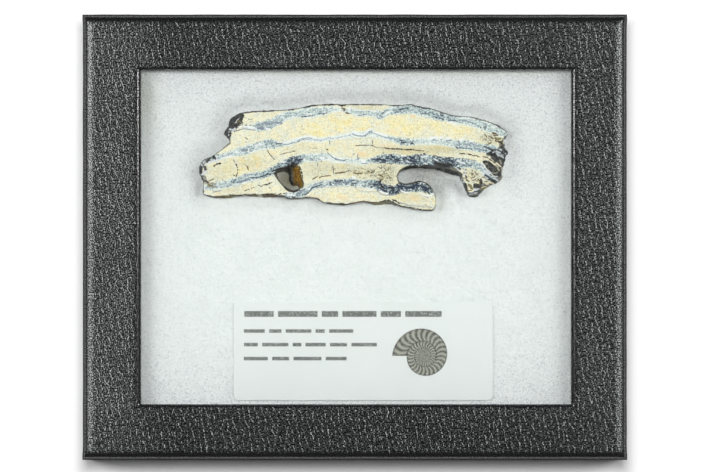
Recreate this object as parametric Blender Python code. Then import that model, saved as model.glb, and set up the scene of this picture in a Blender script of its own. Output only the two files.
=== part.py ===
"""Slice of a fossil mammoth tooth, shown with its label in a shallow display case.

The case lies on its base and its window faces up. A tray holds a pad of cotton batting, the
tooth slice is pressed into the pad, the label card lies on it, and a pane of glass is shut in
between the rim of the tray and the border of the lid. Units are metres: +X runs along the long
side of the case, +Y across it and +Z up. The origin is the middle of the tray's underside.
"""

import math

import bmesh
import bpy
from mathutils import Vector

MM = 0.001

# Case
CASE_LENGTH = 139.7 * MM
CASE_WIDTH = 114.3 * MM
CASE_HEIGHT = 19.05 * MM
WINDOW_LENGTH = 110.0 * MM
WINDOW_WIDTH = 86.0 * MM
LID_BOARD = 1.6 * MM
OUTER_ROLL = 2.3 * MM
WINDOW_ROLL = 1.0 * MM
SKIRT_RISE = 0.4 * MM
EAR = 0.35 * MM
EAR_REACH = 1.8 * MM
EAR_STATIONS = (0.7 * MM, 1.7 * MM, 3.4 * MM, 7.0 * MM)

TRAY_BOARD = 1.5 * MM
TRAY_PLAY = 0.5 * MM
TRAY_CORNER = 1.0 * MM
TRAY_EDGE = 0.3 * MM

GLASS_THICKNESS = 2.0 * MM
GLASS_SEAM = 0.25 * MM

# Gap left between two pieces that touch
GAP = 0.3 * MM

# Label card
LABEL_LENGTH = 66.7 * MM
LABEL_WIDTH = 25.4 * MM
LABEL_THICKNESS = 0.25 * MM
LABEL_CORNER = 1.4 * MM
LABEL_CENTRE = (2.2 * MM, -29.4 * MM)

# Cotton batting
BATTING_COLUMNS = 34
BATTING_ROWS = 28
BATTING_SHOULDER = 9.0 * MM
BATTING_DROP = 3.2 * MM
NEST_DIP = 1.2 * MM
NEST_REACH = 3.5 * MM
NEST_CLEARANCE = 0.45 * MM

# Tooth slice
TOOTH_THICKNESS = 6.0 * MM
OUTLINE_STEPS = 2
HOLE_STEPS = 2

# Outline of the slice in millimetres, clockwise from its top left: a point on the edge of the
# sawn face, then how far the natural outside of the tooth runs out from that point below it.
TOOTH_OUTLINE = (
    (-28.5, 32.1, -0.3, 0.3), (-21.9, 32.6, 0.0, 0.1), (-16.4, 32.8, 0.0, 0.1),
    (-13.3, 33.5, 0.0, 0.1), (-9.2, 34.1, 0.0, 0.1), (-2.0, 34.2, 0.0, 0.1),
    (3.9, 34.2, 0.0, 0.1), (8.3, 34.1, 0.0, 0.1), (10.3, 33.8, 0.0, 0.2),
    (14.5, 34.2, 0.0, 0.1), (16.5, 33.5, 0.0, 0.2), (19.6, 33.1, 0.0, 0.2),
    (25.0, 31.4, 0.1, 0.1), (29.9, 31.0, 0.1, 0.1), (33.2, 30.1, 0.1, 0.2),
    (36.6, 28.8, 0.1, 0.2), (39.4, 26.7, 0.2, 0.1), (38.5, 25.6, 0.3, -0.1),
    (37.3, 24.9, 1.1, -0.2), (36.8, 22.9, 2.3, -0.4), (34.5, 21.9, 5.0, -0.3),
    (33.5, 20.6, 5.3, -0.3), (33.2, 19.1, 5.0, -0.5), (33.7, 17.3, 4.0, -0.3),
    (34.2, 15.7, 3.7, 0.0), (33.5, 14.4, 3.7, -0.5), (32.4, 13.5, 3.0, -0.3),
    (31.9, 12.6, 1.8, -0.4), (31.4, 11.6, 0.8, -0.8), (30.6, 11.0, 1.2, -0.8),
    (29.6, 11.0, 0.8, -0.7), (29.2, 11.4, 0.1, -1.0), (28.8, 12.7, -0.2, -0.5),
    (28.4, 13.9, -0.4, -0.2), (27.8, 15.2, -0.5, -0.1), (27.6, 16.2, -0.6, -0.2),
    (26.8, 17.3, -1.8, -1.1), (25.7, 18.1, -2.4, -1.3), (24.2, 18.7, -2.5, -1.6),
    (22.1, 18.8, -1.9, -1.4), (20.1, 18.1, -0.7, -0.5), (16.8, 18.1, 0.0, -0.4),
    (13.4, 18.1, 0.0, -0.8), (11.8, 17.3, 0.2, -0.3), (10.9, 16.2, 0.2, -0.1),
    (11.0, 14.8, 0.1, 0.1), (11.9, 13.8, 0.1, 0.2), (13.7, 13.5, 0.0, 0.2),
    (15.5, 14.0, 0.0, 0.2), (17.0, 14.4, 0.0, 0.1), (18.8, 13.8, 0.1, 0.1),
    (19.6, 12.7, 0.1, 0.1), (20.5, 11.5, 0.1, 0.0), (21.3, 9.7, 0.1, 0.0),
    (21.0, 8.0, 0.1, -0.1), (19.9, 7.0, 0.1, -0.1), (16.8, 7.1, 0.0, -0.1),
    (12.9, 7.7, 0.0, -0.1), (10.9, 8.4, 0.2, -0.3), (9.1, 9.3, -0.3, -0.9),
    (7.3, 9.2, -0.8, -0.9), (5.5, 8.7, -0.5, -0.7), (2.4, 9.2, 0.0, -0.1),
    (-0.2, 8.8, 0.0, -0.1), (-2.5, 8.4, 0.0, -0.1), (-6.4, 8.7, 0.0, -0.1),
    (-8.4, 9.1, 0.0, -0.1), (-9.5, 9.9, 0.0, -0.1), (-11.8, 10.3, 0.0, -0.1),
    (-14.1, 10.2, 0.0, -0.1), (-17.2, 9.9, 0.0, -0.1), (-18.1, 10.7, 0.0, -0.1),
    (-20.0, 10.9, 0.0, -0.7), (-23.9, 11.1, 0.0, -1.0), (-27.2, 11.1, 0.0, -0.7),
    (-28.8, 10.9, 0.0, -0.1), (-31.6, 10.9, -0.2, -1.0), (-35.2, 10.6, 0.3, -0.7),
    (-37.8, 10.7, 0.0, -0.4), (-38.9, 11.4, -0.1, 0.0), (-38.9, 13.2, -0.1, 0.0),
    (-38.8, 14.5, -0.5, 0.2), (-39.0, 15.7, -0.9, 0.0), (-39.0, 17.3, -1.0, 0.0),
    (-38.5, 18.7, -1.2, 0.3), (-37.8, 19.7, -1.0, 0.2), (-36.7, 20.6, -0.7, 0.2),
    (-35.7, 21.5, -0.1, 0.1), (-33.6, 23.1, -0.1, 0.1), (-32.3, 24.1, -0.1, 0.1),
    (-32.1, 25.5, -0.6, 0.0), (-32.0, 26.4, -1.5, 0.1), (-31.3, 28.1, -1.8, 0.0),
    (-29.9, 29.0, -2.5, 0.9), (-29.3, 30.7, -2.0, 0.7), (-29.0, 31.7, -0.9, 0.4),
)

# Hole through the slice in millimetres, clockwise from its left: a point on its edge in the
# sawn face, then the point where the same stretch of its wall meets the underside.
TOOTH_HOLE = (
    (-20.8, 16.1, -20.1, 16.0), (-20.4, 17.1, -19.9, 16.5), (-19.0, 17.7, -19.0, 16.6),
    (-17.4, 18.2, -18.1, 16.8), (-15.8, 19.0, -17.4, 16.3), (-14.7, 18.8, -17.3, 15.4),
    (-14.1, 17.7, -17.2, 14.5), (-13.8, 15.7, -16.7, 13.7), (-13.3, 14.2, -15.8, 13.3),
    (-13.2, 13.2, -14.6, 13.5), (-14.2, 12.2, -14.8, 12.7), (-15.5, 11.7, -15.7, 12.1),
    (-17.2, 12.0, -17.0, 12.3), (-18.3, 13.0, -18.1, 13.2), (-19.4, 14.2, -19.2, 14.2),
    (-20.1, 15.2, -19.9, 15.1),
)

# Sides of the slice from its sawn face down: share of the thickness, share of the run-out
TOOTH_SIDES = ((0.0, 0.0), (0.22, 0.5), (0.6, 1.0), (0.88, 0.92), (1.0, 0.7))

GLASS_TOP = CASE_HEIGHT - LID_BOARD - GAP
GLASS_UNDERSIDE = GLASS_TOP - GLASS_THICKNESS
TRAY_HEIGHT = GLASS_UNDERSIDE - GAP
SPECIMEN_TOP = GLASS_UNDERSIDE - GAP
TOOTH_UNDERSIDE = SPECIMEN_TOP - TOOTH_THICKNESS
BATTING_TOP = SPECIMEN_TOP - LABEL_THICKNESS - GAP
BATTING_UNDERSIDE = TRAY_BOARD + GAP


def clear_scene():
    """Remove the objects that the file already holds."""
    for thing in list(bpy.data.objects):
        bpy.data.objects.remove(thing, do_unlink=True)


def surface(name, colour, roughness, transmission=0.0):
    """Return a Principled material with one plain finish."""
    material = bpy.data.materials.new(name)
    material.use_nodes = True
    shader = material.node_tree.nodes["Principled BSDF"]
    shader.inputs["Base Color"].default_value = (*colour, 1.0)
    shader.inputs["Roughness"].default_value = roughness
    shader.inputs["Metallic"].default_value = 0.0
    shader.inputs["Transmission Weight"].default_value = transmission
    return material


def add_node(name, bm, material, smooth_angle=None):
    """Turn a finished bmesh into a named object, with its faces pointing out."""
    bmesh.ops.recalc_face_normals(bm, faces=bm.faces)
    mesh = bpy.data.meshes.new(name)
    bm.to_mesh(mesh)
    bm.free()
    mesh.materials.append(material)
    if smooth_angle is not None:
        mesh.shade_smooth()
        mesh.set_sharp_from_angle(angle=smooth_angle)
    node = bpy.data.objects.new(name, mesh)
    bpy.context.scene.collection.objects.link(node)
    return node


def bridge(bm, lower, upper):
    """Join two rings of the same length with a belt of four-sided faces."""
    count = len(lower)
    for index in range(count):
        after = (index + 1) % count
        bm.faces.new((lower[index], lower[after], upper[after], upper[index]))


def add_ring(bm, points, height):
    """Add one closed ring of vertices at a height."""
    return [bm.verts.new((x, y, height)) for x, y in points]


def smooth_loop(knots, steps):
    """Return points on a closed curve through the knots, each span cut into equal steps."""
    count = len(knots)
    spans = [(knots[(i + 1) % count] - knots[i]).length for i in range(count)]
    slopes = []
    for i in range(count):
        reach = spans[i - 1] + spans[i]
        slopes.append((knots[(i + 1) % count] - knots[i - 1]) / reach)
    loop = []
    for i in range(count):
        start, end = knots[i], knots[(i + 1) % count]
        leave, arrive = slopes[i] * spans[i], slopes[(i + 1) % count] * spans[i]
        for step in range(steps):
            t = step / steps
            loop.append(
                start * (2 * t**3 - 3 * t**2 + 1) + leave * (t**3 - 2 * t**2 + t)
                + end * (3 * t**2 - 2 * t**3) + arrive * (t**3 - t**2)
            )
    return loop


def outline_pairs(table, steps):
    """Smooth a table of paired points, and return the two loops in metres."""
    knots = [Vector(row) * MM for row in table]
    loop = smooth_loop(knots, steps)
    first = [Vector((p[0], p[1])) for p in loop]
    second = [Vector((p[2], p[3])) for p in loop]
    return first, second


def lid_ring(inset_x, inset_y, ear):
    """Return a rectangle's points, counter-clockwise, pushed out by an ear at each corner."""
    half_x = CASE_LENGTH / 2 - inset_x
    half_y = CASE_WIDTH / 2 - inset_y

    def push(distance):
        return ear * math.exp(-((distance / EAR_REACH) ** 2))

    points = []
    for sign_x, sign_y, along_x in ((1, -1, False), (1, 1, True), (-1, 1, False), (-1, -1, True)):
        arriving = [s for s in reversed(EAR_STATIONS)]
        before = [(half_x + push(s), half_y - s) for s in arriving]
        after = [(half_x - s, half_y + push(s)) for s in EAR_STATIONS]
        if not along_x:
            before = [(half_x - s, half_y + push(s)) for s in arriving]
            after = [(half_x + push(s), half_y - s) for s in EAR_STATIONS]
        corner = [(half_x + 0.8 * ear, half_y + 0.8 * ear)]
        points += [(sign_x * x, sign_y * y) for x, y in before + corner + after]
    return points


def lid_profile():
    """List the lid's rings as (inset in X, inset in Y, height, ear), from the skirt's foot
    up its outside, over the rolled edge, across the border, and back down inside."""
    border_x = (CASE_LENGTH - WINDOW_LENGTH) / 2
    border_y = (CASE_WIDTH - WINDOW_WIDTH) / 2
    rings = [(0.0, 0.0, SKIRT_RISE, EAR)]
    outer_segments = 6
    for index in range(outer_segments + 1):
        turn = math.pi / 2 * index / outer_segments
        inset = OUTER_ROLL * (1 - math.cos(turn))
        height = CASE_HEIGHT - OUTER_ROLL * (1 - math.sin(turn))
        rings.append((inset, inset, height, EAR * math.cos(turn)))
    window_segments = 4
    for index in range(window_segments + 1):
        turn = math.pi / 2 * index / window_segments
        back = WINDOW_ROLL * (1 - math.sin(turn))
        height = CASE_HEIGHT - WINDOW_ROLL * (1 - math.cos(turn))
        rings.append((border_x - back, border_y - back, height, 0.0))
    underside = CASE_HEIGHT - LID_BOARD
    rings.append((border_x, border_y, underside, 0.0))
    rings.append((LID_BOARD, LID_BOARD, underside, 0.0))
    rings.append((LID_BOARD, LID_BOARD, SKIRT_RISE, 0.0))
    return rings


def build_lid():
    """Wrapped cardboard lid: a bordered window above a skirt that covers the tray."""
    bm = bmesh.new()
    rings = []
    for inset_x, inset_y, height, ear in lid_profile():
        rings.append(add_ring(bm, lid_ring(inset_x, inset_y, ear), height))
    for index, ring in enumerate(rings):
        bridge(bm, ring, rings[(index + 1) % len(rings)])
    leatherette = surface("leatherette", (0.045, 0.048, 0.047), 0.45)
    return add_node("case_lid", bm, leatherette, math.radians(40))


def rounded_rectangle(length, width, radius, segments):
    """Return a rectangle's points, counter-clockwise, with rounded corners."""
    points = []
    for quarter in range(4):
        side_x = 1 if quarter in (0, 3) else -1
        side_y = 1 if quarter in (0, 1) else -1
        centre_x = side_x * (length / 2 - radius)
        centre_y = side_y * (width / 2 - radius)
        for index in range(segments + 1):
            turn = math.pi / 2 * (quarter + index / segments)
            points.append((centre_x + radius * math.cos(turn), centre_y + radius * math.sin(turn)))
    return points


def build_tray():
    """Open cardboard tray that the lid slides down over."""
    length = CASE_LENGTH - 2 * (LID_BOARD + TRAY_PLAY)
    width = CASE_WIDTH - 2 * (LID_BOARD + TRAY_PLAY)
    profile = (
        (TRAY_EDGE, 0.0),
        (0.0, TRAY_EDGE),
        (0.0, TRAY_HEIGHT - TRAY_EDGE),
        (TRAY_EDGE, TRAY_HEIGHT),
        (TRAY_BOARD - TRAY_EDGE, TRAY_HEIGHT),
        (TRAY_BOARD, TRAY_HEIGHT - TRAY_EDGE),
        (TRAY_BOARD, TRAY_BOARD),
    )
    bm = bmesh.new()
    rings = []
    for inset, height in profile:
        radius = max(TRAY_CORNER - inset, 0.2 * MM)
        corner_segments = 3
        points = rounded_rectangle(length - 2 * inset, width - 2 * inset, radius, corner_segments)
        rings.append(add_ring(bm, points, height))
    for lower, upper in zip(rings, rings[1:]):
        bridge(bm, lower, upper)
    bm.faces.new(rings[0])
    bm.faces.new(rings[-1])
    return add_node("case_tray", bm, surface("wrap_paper", (0.03, 0.03, 0.032), 0.75))


def build_glass():
    """Pane of clear glass with its cut edges seamed."""
    length = CASE_LENGTH - 2 * (LID_BOARD + GAP)
    width = CASE_WIDTH - 2 * (LID_BOARD + GAP)
    bm = bmesh.new()
    bmesh.ops.create_cube(bm, size=1.0)
    bmesh.ops.scale(bm, vec=(length, width, GLASS_THICKNESS), verts=bm.verts)
    bmesh.ops.translate(bm, vec=(0.0, 0.0, GLASS_TOP - GLASS_THICKNESS / 2), verts=bm.verts)
    bmesh.ops.bevel(bm, geom=bm.edges, offset=GLASS_SEAM, segments=1, affect="EDGES")
    return add_node("glass_pane", bm, surface("glass", (0.97, 0.99, 0.98), 0.02, 1.0))


def build_label():
    """Thin card with rounded corners, lying on the batting just under the glass."""
    bm = bmesh.new()
    corner_segments = 4
    points = rounded_rectangle(LABEL_LENGTH, LABEL_WIDTH, LABEL_CORNER, corner_segments)
    placed = [(x + LABEL_CENTRE[0], y + LABEL_CENTRE[1]) for x, y in points]
    lower = add_ring(bm, placed, SPECIMEN_TOP - LABEL_THICKNESS)
    upper = add_ring(bm, placed, SPECIMEN_TOP)
    bridge(bm, lower, upper)
    bm.faces.new(lower)
    bm.faces.new(upper)
    return add_node("label_card", bm, surface("card", (0.82, 0.83, 0.82), 0.6))


def lofted_solid(bm, loops):
    """Close a stack of (points, height) loops into one solid."""
    rings = [add_ring(bm, points, height) for points, height in loops]
    for lower, upper in zip(rings, rings[1:]):
        bridge(bm, lower, upper)
    bm.faces.new(rings[0])
    bm.faces.new(rings[-1])


def cut_with(target, cutter):
    """Subtract a cutter from a node, and keep the cutter out of sight."""
    cutter.hide_render = True
    cutter.display_type = "WIRE"
    cut = target.modifiers.new("cut", "BOOLEAN")
    cut.operation = "DIFFERENCE"
    cut.solver = "EXACT"
    cut.object = cutter


def build_tooth():
    """Sawn slice of the tooth: two flat faces, natural sides, a bay and a worn-through hole."""
    edge, run_out = outline_pairs(TOOTH_OUTLINE, OUTLINE_STEPS)
    loops = []
    for depth, share in TOOTH_SIDES:
        points = [point + run * share for point, run in zip(edge, run_out)]
        loops.append((points, SPECIMEN_TOP - TOOTH_THICKNESS * depth))
    bm = bmesh.new()
    lofted_solid(bm, loops)
    tooth = add_node("tooth_slice", bm, surface("fossil", (0.66, 0.6, 0.44), 0.45))

    over_top, under = outline_pairs(TOOTH_HOLE, HOLE_STEPS)
    reach = 0.2
    above = [top + (top - low) * reach for top, low in zip(over_top, under)]
    below = [low - (top - low) * reach for top, low in zip(over_top, under)]
    cutter_loops = (
        (above, SPECIMEN_TOP + TOOTH_THICKNESS * reach),
        (below, TOOTH_UNDERSIDE - TOOTH_THICKNESS * reach),
    )
    bm = bmesh.new()
    lofted_solid(bm, cutter_loops)
    cutter = add_node("hole_cutter", bm, tooth.data.materials[0])
    cut_with(tooth, cutter)
    return tooth


def tooth_reach():
    """Return the slice's widest outline, with its natural sides."""
    edge, run_out = outline_pairs(TOOTH_OUTLINE, OUTLINE_STEPS)
    return [point + run for point, run in zip(edge, run_out)]


def grown(loop, distance):
    """Push a clockwise loop outwards."""
    count = len(loop)
    pushed = []
    for index, point in enumerate(loop):
        along = (loop[(index + 1) % count] - loop[index - 1]).normalized()
        pushed.append(point + Vector((-along.y, along.x)) * distance)
    return pushed


def batting_height(x, y, half_x, half_y, outline):
    """Height of the pad's top: full in the middle, low at the walls and beside the tooth."""
    inward = min(half_x - abs(x), half_y - abs(y)) / BATTING_SHOULDER
    rise = min(max(inward, 0.0), 1.0)
    shoulder = (1 - rise) ** 2.5 * BATTING_DROP
    distance = min((Vector((x, y)) - point).length for point in outline)
    dip = NEST_DIP * math.exp(-((distance / NEST_REACH) ** 2))
    return BATTING_TOP - shoulder - dip


def build_batting():
    """Soft pad that fills the tray, with a nest pressed into it for the slice."""
    half_x = CASE_LENGTH / 2 - LID_BOARD - TRAY_PLAY - TRAY_BOARD - GAP
    half_y = CASE_WIDTH / 2 - LID_BOARD - TRAY_PLAY - TRAY_BOARD - GAP
    outline = tooth_reach()

    bm = bmesh.new()
    bmesh.ops.create_grid(bm, x_segments=BATTING_COLUMNS, y_segments=BATTING_ROWS, size=1.0)
    for vert in bm.verts:
        x, y = vert.co.x * half_x, vert.co.y * half_y
        vert.co = (x, y, batting_height(x, y, half_x, half_y, outline))
    rim = [edge for edge in bm.edges if edge.is_boundary]
    wall = bmesh.ops.extrude_edge_only(bm, edges=rim)["geom"]
    foot = [item for item in wall if isinstance(item, bmesh.types.BMVert)]
    for vert in foot:
        vert.co.z = BATTING_UNDERSIDE
    bmesh.ops.contextual_create(bm, geom=[edge for edge in bm.edges if edge.is_boundary])
    batting = add_node("cotton_batting", bm, surface("batting", (0.86, 0.88, 0.87), 0.95))

    nest = grown(outline, NEST_CLEARANCE)
    bm = bmesh.new()
    lofted_solid(bm, ((nest, CASE_HEIGHT), (nest, TOOTH_UNDERSIDE - GAP)))
    cutter = add_node("nest_cutter", bm, batting.data.materials[0])
    cut_with(batting, cutter)
    return batting


def main():
    clear_scene()
    build_tray()
    build_batting()
    build_tooth()
    build_label()
    build_glass()
    build_lid()


main()
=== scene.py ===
"""Finish of a fossil mammoth tooth slice in its shallow display case.

The case lies on its base with the window up. The lid is covered in embossed leatherette paper,
the pad is white fibre batting, and the slice shows bands of blue-grey enamel between cream
layers of dentine and cementum. Lengths are metres, unless a name or comment says millimetres.
"""

import math
import random

import bmesh
import bpy
import numpy as np
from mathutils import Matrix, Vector, noise
from mathutils.bvhtree import BVHTree
from mathutils.kdtree import KDTree


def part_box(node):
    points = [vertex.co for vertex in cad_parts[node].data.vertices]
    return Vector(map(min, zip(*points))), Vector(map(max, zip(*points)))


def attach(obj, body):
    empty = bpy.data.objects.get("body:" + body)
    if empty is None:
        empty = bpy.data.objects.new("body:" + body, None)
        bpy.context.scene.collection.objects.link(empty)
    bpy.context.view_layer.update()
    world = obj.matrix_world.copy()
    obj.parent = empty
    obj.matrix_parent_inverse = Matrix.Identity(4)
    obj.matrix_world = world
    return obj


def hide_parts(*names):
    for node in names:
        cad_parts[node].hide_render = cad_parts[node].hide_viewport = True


MM = 0.001
WHITE = (1.0, 1.0, 1.0, 1.0)


def srgb(red, green, blue):
    """Turn a colour given in 0-255 display values into the linear one that shaders take."""
    def linear(value):
        share = value / 255
        return share / 12.92 if share <= 0.04045 else ((share + 0.055) / 1.055) ** 2.4
    return (linear(red), linear(green), linear(blue), 1.0)


# ---------------------------------------------------------------- shader helpers


class Wire:
    """An output socket. Arithmetic on it adds Math nodes to its material."""

    def __init__(self, finish, socket):
        self.finish = finish
        self.socket = socket

    def __add__(self, other):
        return self.finish.math("ADD", self, other)

    def __sub__(self, other):
        return self.finish.math("SUBTRACT", self, other)

    def __mul__(self, other):
        return self.finish.math("MULTIPLY", self, other)

    def __truediv__(self, other):
        return self.finish.math("DIVIDE", self, other)

    def __pow__(self, other):
        return self.finish.math("POWER", self, other)

    def __radd__(self, other):
        return self.finish.math("ADD", other, self)

    def __rsub__(self, other):
        return self.finish.math("SUBTRACT", other, self)

    def __rmul__(self, other):
        return self.finish.math("MULTIPLY", other, self)

    def __abs__(self):
        return self.finish.math("ABSOLUTE", self)


class Finish:
    """A Principled material that is put together from named steps."""

    def __init__(self, name, **constants):
        self.material = bpy.data.materials.new(name)
        self.material.use_nodes = True
        self.tree = self.material.node_tree
        self.shader = self.tree.nodes["Principled BSDF"]
        self.set(**constants)

    def node(self, kind, settings=None, inputs=None, output=0):
        """Add a node, set its options, then fill its sockets with values or wires."""
        made = self.tree.nodes.new("ShaderNode" + kind)
        for option, value in (settings or {}).items():
            setattr(made, option, value)
        for socket, value in (inputs or {}).items():
            self.plug(made.inputs[socket], value)
        return Wire(self, made.outputs[output])

    def plug(self, socket, value):
        """Link a wire to a socket, or set the socket's own value."""
        if isinstance(value, Wire):
            self.tree.links.new(value.socket, socket)
        else:
            socket.default_value = value

    def set(self, **sockets):
        """Fill sockets of the Principled shader."""
        for socket, value in sockets.items():
            self.plug(self.shader.inputs[socket.replace("_", " ")], value)

    def math(self, operation, *values):
        return self.node("Math", {"operation": operation}, dict(enumerate(values)))

    def larger(self, first, second):
        return self.math("MAXIMUM", first, second)

    def millimetres(self):
        """Object coordinates, counted in millimetres."""
        place = self.node("TexCoord", output="Object")
        return self.node("VectorMath", {"operation": "SCALE"}, {0: place, "Scale": 1000.0})

    def stretch(self, vector, factors):
        """Scale a vector by a different factor along each axis."""
        return self.node("VectorMath", {"operation": "MULTIPLY"}, {0: vector, 1: factors})

    def warp(self, vector, amount, scale):
        """Push a vector about by smooth noise, so that what it draws wanders."""
        wander = self.node("TexNoise", None, {"Vector": vector, "Scale": scale, "Detail": 2.0}, "Color")
        centred = self.node("VectorMath", {"operation": "SUBTRACT"}, {0: wander, 1: (0.5, 0.5, 0.5)})
        push = self.node("VectorMath", {"operation": "SCALE"}, {0: centred, "Scale": amount})
        return self.node("VectorMath", {"operation": "ADD"}, {0: vector, 1: push})

    def axis(self, vector, name):
        return self.node("SeparateXYZ", None, {0: vector}, name)

    def attribute(self, name):
        return self.node("Attribute", {"attribute_name": name}, None, "Fac")

    def noise(self, vector, scale, detail, roughness):
        sockets = {"Vector": vector, "Scale": scale, "Detail": detail, "Roughness": roughness}
        return self.node("TexNoise", None, sockets)

    def cells(self, vector, scale):
        """Distance to the middle of the nearest cell."""
        return self.node("TexVoronoi", {"feature": "F1"}, {"Vector": vector, "Scale": scale}, "Distance")

    def fade(self, value, start, end):
        """Rise smoothly from 0 at start to 1 at end; start may be the larger."""
        sockets = {0: value, 1: start, 2: end, 3: 0.0, 4: 1.0}
        if start > end:
            sockets = {0: value, 1: end, 2: start, 3: 1.0, 4: 0.0}
        return self.node("MapRange", {"interpolation_type": "SMOOTHSTEP"}, sockets)

    def mix(self, share, first, second):
        settings = {"data_type": "RGBA", "blend_type": "MIX", "clamp_factor": True}
        return self.node("Mix", settings, {0: share, 6: first, 7: second}, 2)

    def ramp(self, value, stops):
        """Blend through several colours as a value rises."""
        blend = self.node("ValToRGB", None, {0: value})
        band = blend.socket.node.color_ramp
        for place, colour in stops[1:-1]:
            band.elements.new(place).color = colour
        band.elements[0].position, band.elements[0].color = stops[0]
        band.elements[-1].position, band.elements[-1].color = stops[-1]
        return blend

    def mark(self, colour, name, grit, start, end, paint):
        """Lay a listed mark over a colour, its sides made ragged by grit."""
        field = self.attribute(name)
        share = self.fade(field + grit * self.fade(field, 0.0, 0.3), start, end)
        return self.mix(share, colour, paint)

    def bump(self, height, distance, strength):
        sockets = {"Height": height, "Distance": distance, "Strength": strength}
        return self.node("Bump", None, sockets)


# ---------------------------------------------------------------- modelling helpers


def deselect_all():
    bpy.ops.object.select_all(action="DESELECT")


def activate(piece):
    """Make a piece the only selected object."""
    deselect_all()
    piece.select_set(True)
    bpy.context.view_layer.objects.active = piece


def new_piece(name):
    """Name the primitive that was just added."""
    piece = bpy.context.object
    piece.name = name
    piece.data.name = name
    return piece


def edit_select(piece, mode, chosen):
    """In edit mode, select the faces or edges that a test picks."""
    bpy.ops.mesh.select_mode(type=mode)
    bm = bmesh.from_edit_mesh(piece.data)
    for group in (bm.verts, bm.edges, bm.faces):
        for item in group:
            item.select = False
    for item in {"EDGE": bm.edges, "FACE": bm.faces}[mode]:
        if chosen(item):
            item.select_set(True)
    bm.select_flush_mode()
    bmesh.update_edit_mesh(piece.data)


def apply_modifier(piece, kind, **settings):
    """Add a modifier, set it and apply it."""
    activate(piece)
    modifier = piece.modifiers.new(kind.lower(), kind)
    for option, value in settings.items():
        setattr(modifier, option, value)
    bpy.ops.object.modifier_apply(modifier=modifier.name)


def apply_transform():
    bpy.ops.object.transform_apply(location=True, rotation=True, scale=True)


def settle(piece, smooth_angle):
    """Put a piece's place into its mesh, and shade it smooth between its sharp edges."""
    activate(piece)
    apply_transform()
    bpy.ops.object.shade_smooth_by_angle(angle=math.radians(smooth_angle))


def read_vectors(items, field):
    """Return one vector of each item in a mesh's list, as rows of an array."""
    flat = np.empty(len(items) * 3)
    items.foreach_get(field, flat)
    return flat.reshape(-1, 3)


def points_of(piece):
    return read_vectors(piece.data.vertices, "co")


def move_points(piece, points):
    piece.data.vertices.foreach_set("co", points.astype(np.float32).ravel())
    piece.data.update()


def store(piece, name, values):
    """Keep one number for each vertex under a name that materials read."""
    attribute = piece.data.attributes.new(name, "FLOAT", "POINT")
    attribute.data.foreach_set("value", values.astype(np.float32))


def wobble(points, height, wavelength, octaves, offset=(0.0, 0.0, 0.0)):
    """Smooth noise up to about height either way; wavelength is one length or three."""
    scaled = points / np.array(wavelength) + np.array(offset)
    return height * np.array([noise.fractal(Vector(p), 0.5, 2.0, octaves) for p in scaled])


def blobs(x, y, table):
    """Sum of soft round patches, held to 0..1; a row is centre, two radii and strength."""
    total = np.zeros_like(x)
    for cx, cy, rx, ry, strength in table:
        total += strength * np.exp(-(((x - cx) / rx) ** 2 + ((y - cy) / ry) ** 2))
    return np.clip(total, 0, 1)


def finish_piece(piece, node, material):
    """Give a piece its material, body and slot, and let it stand for a CAD node."""
    piece.data.materials.clear()
    piece.data.materials.append(material)
    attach(piece, "root")
    if node:
        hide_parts(node)


# ---------------------------------------------------------------- lid

BORDER_ROLL = 2.8 * MM
BORDER_ROLL_STEPS = 7
WINDOW = (110.0 * MM, 86.0 * MM)
WINDOW_SHIFT = 0.65 * MM  # the window is cut a little wide on its right
WINDOW_SHIFT_REACH = 8 * MM
WINDOW_ROLL = 1.2 * MM
WINDOW_ROLL_STEPS = 4
LID_BOARD = 1.6 * MM
WRAP_CELL = 0.9 * MM

# Pinched corners: room left for them in the solid's box, how far they stand out, their reach
CORNER_ROOM = (0.12 * MM, 0.06 * MM)
EAR = 0.3 * MM
EAR_REACH = 1.8 * MM

# Unevenness of the board and of the paper on it
BOARD_WAVE = 9 * MM
BOARD_SAG = 0.10 * MM
TOP_SKIN = 0.6 * MM  # the sag takes what is higher than this below the top
PAPER_SLACK = 0.04 * MM
FOOT_MARGIN = 1.0 * MM
FOOT_BLEND = 3 * MM

# Heights in millimetres between which the walls turn into the roll, and the roll into the top
WALL_TURN = (15.4, 17.2)
ROLL_TURN = (17.0, 18.9)


def lid_sizes():
    low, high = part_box("case_lid")
    length = high.x - low.x - CORNER_ROOM[0]
    width = high.y - low.y - CORNER_ROOM[1]
    return low, high, length, width


def on_rim(edge, half_x, half_y, height):
    """True for an edge on a level rectangle of the given half sizes and height."""
    near = 0.05 * MM
    for vert in edge.verts:
        flush_x = abs(abs(vert.co.x) - half_x) < near
        flush_y = abs(abs(vert.co.y) - half_y) < near
        if abs(vert.co.z - height) > near or not (flush_x or flush_y):
            return False
    return all(abs(v.co.x) < half_x + near and abs(v.co.y) < half_y + near for v in edge.verts)


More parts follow.
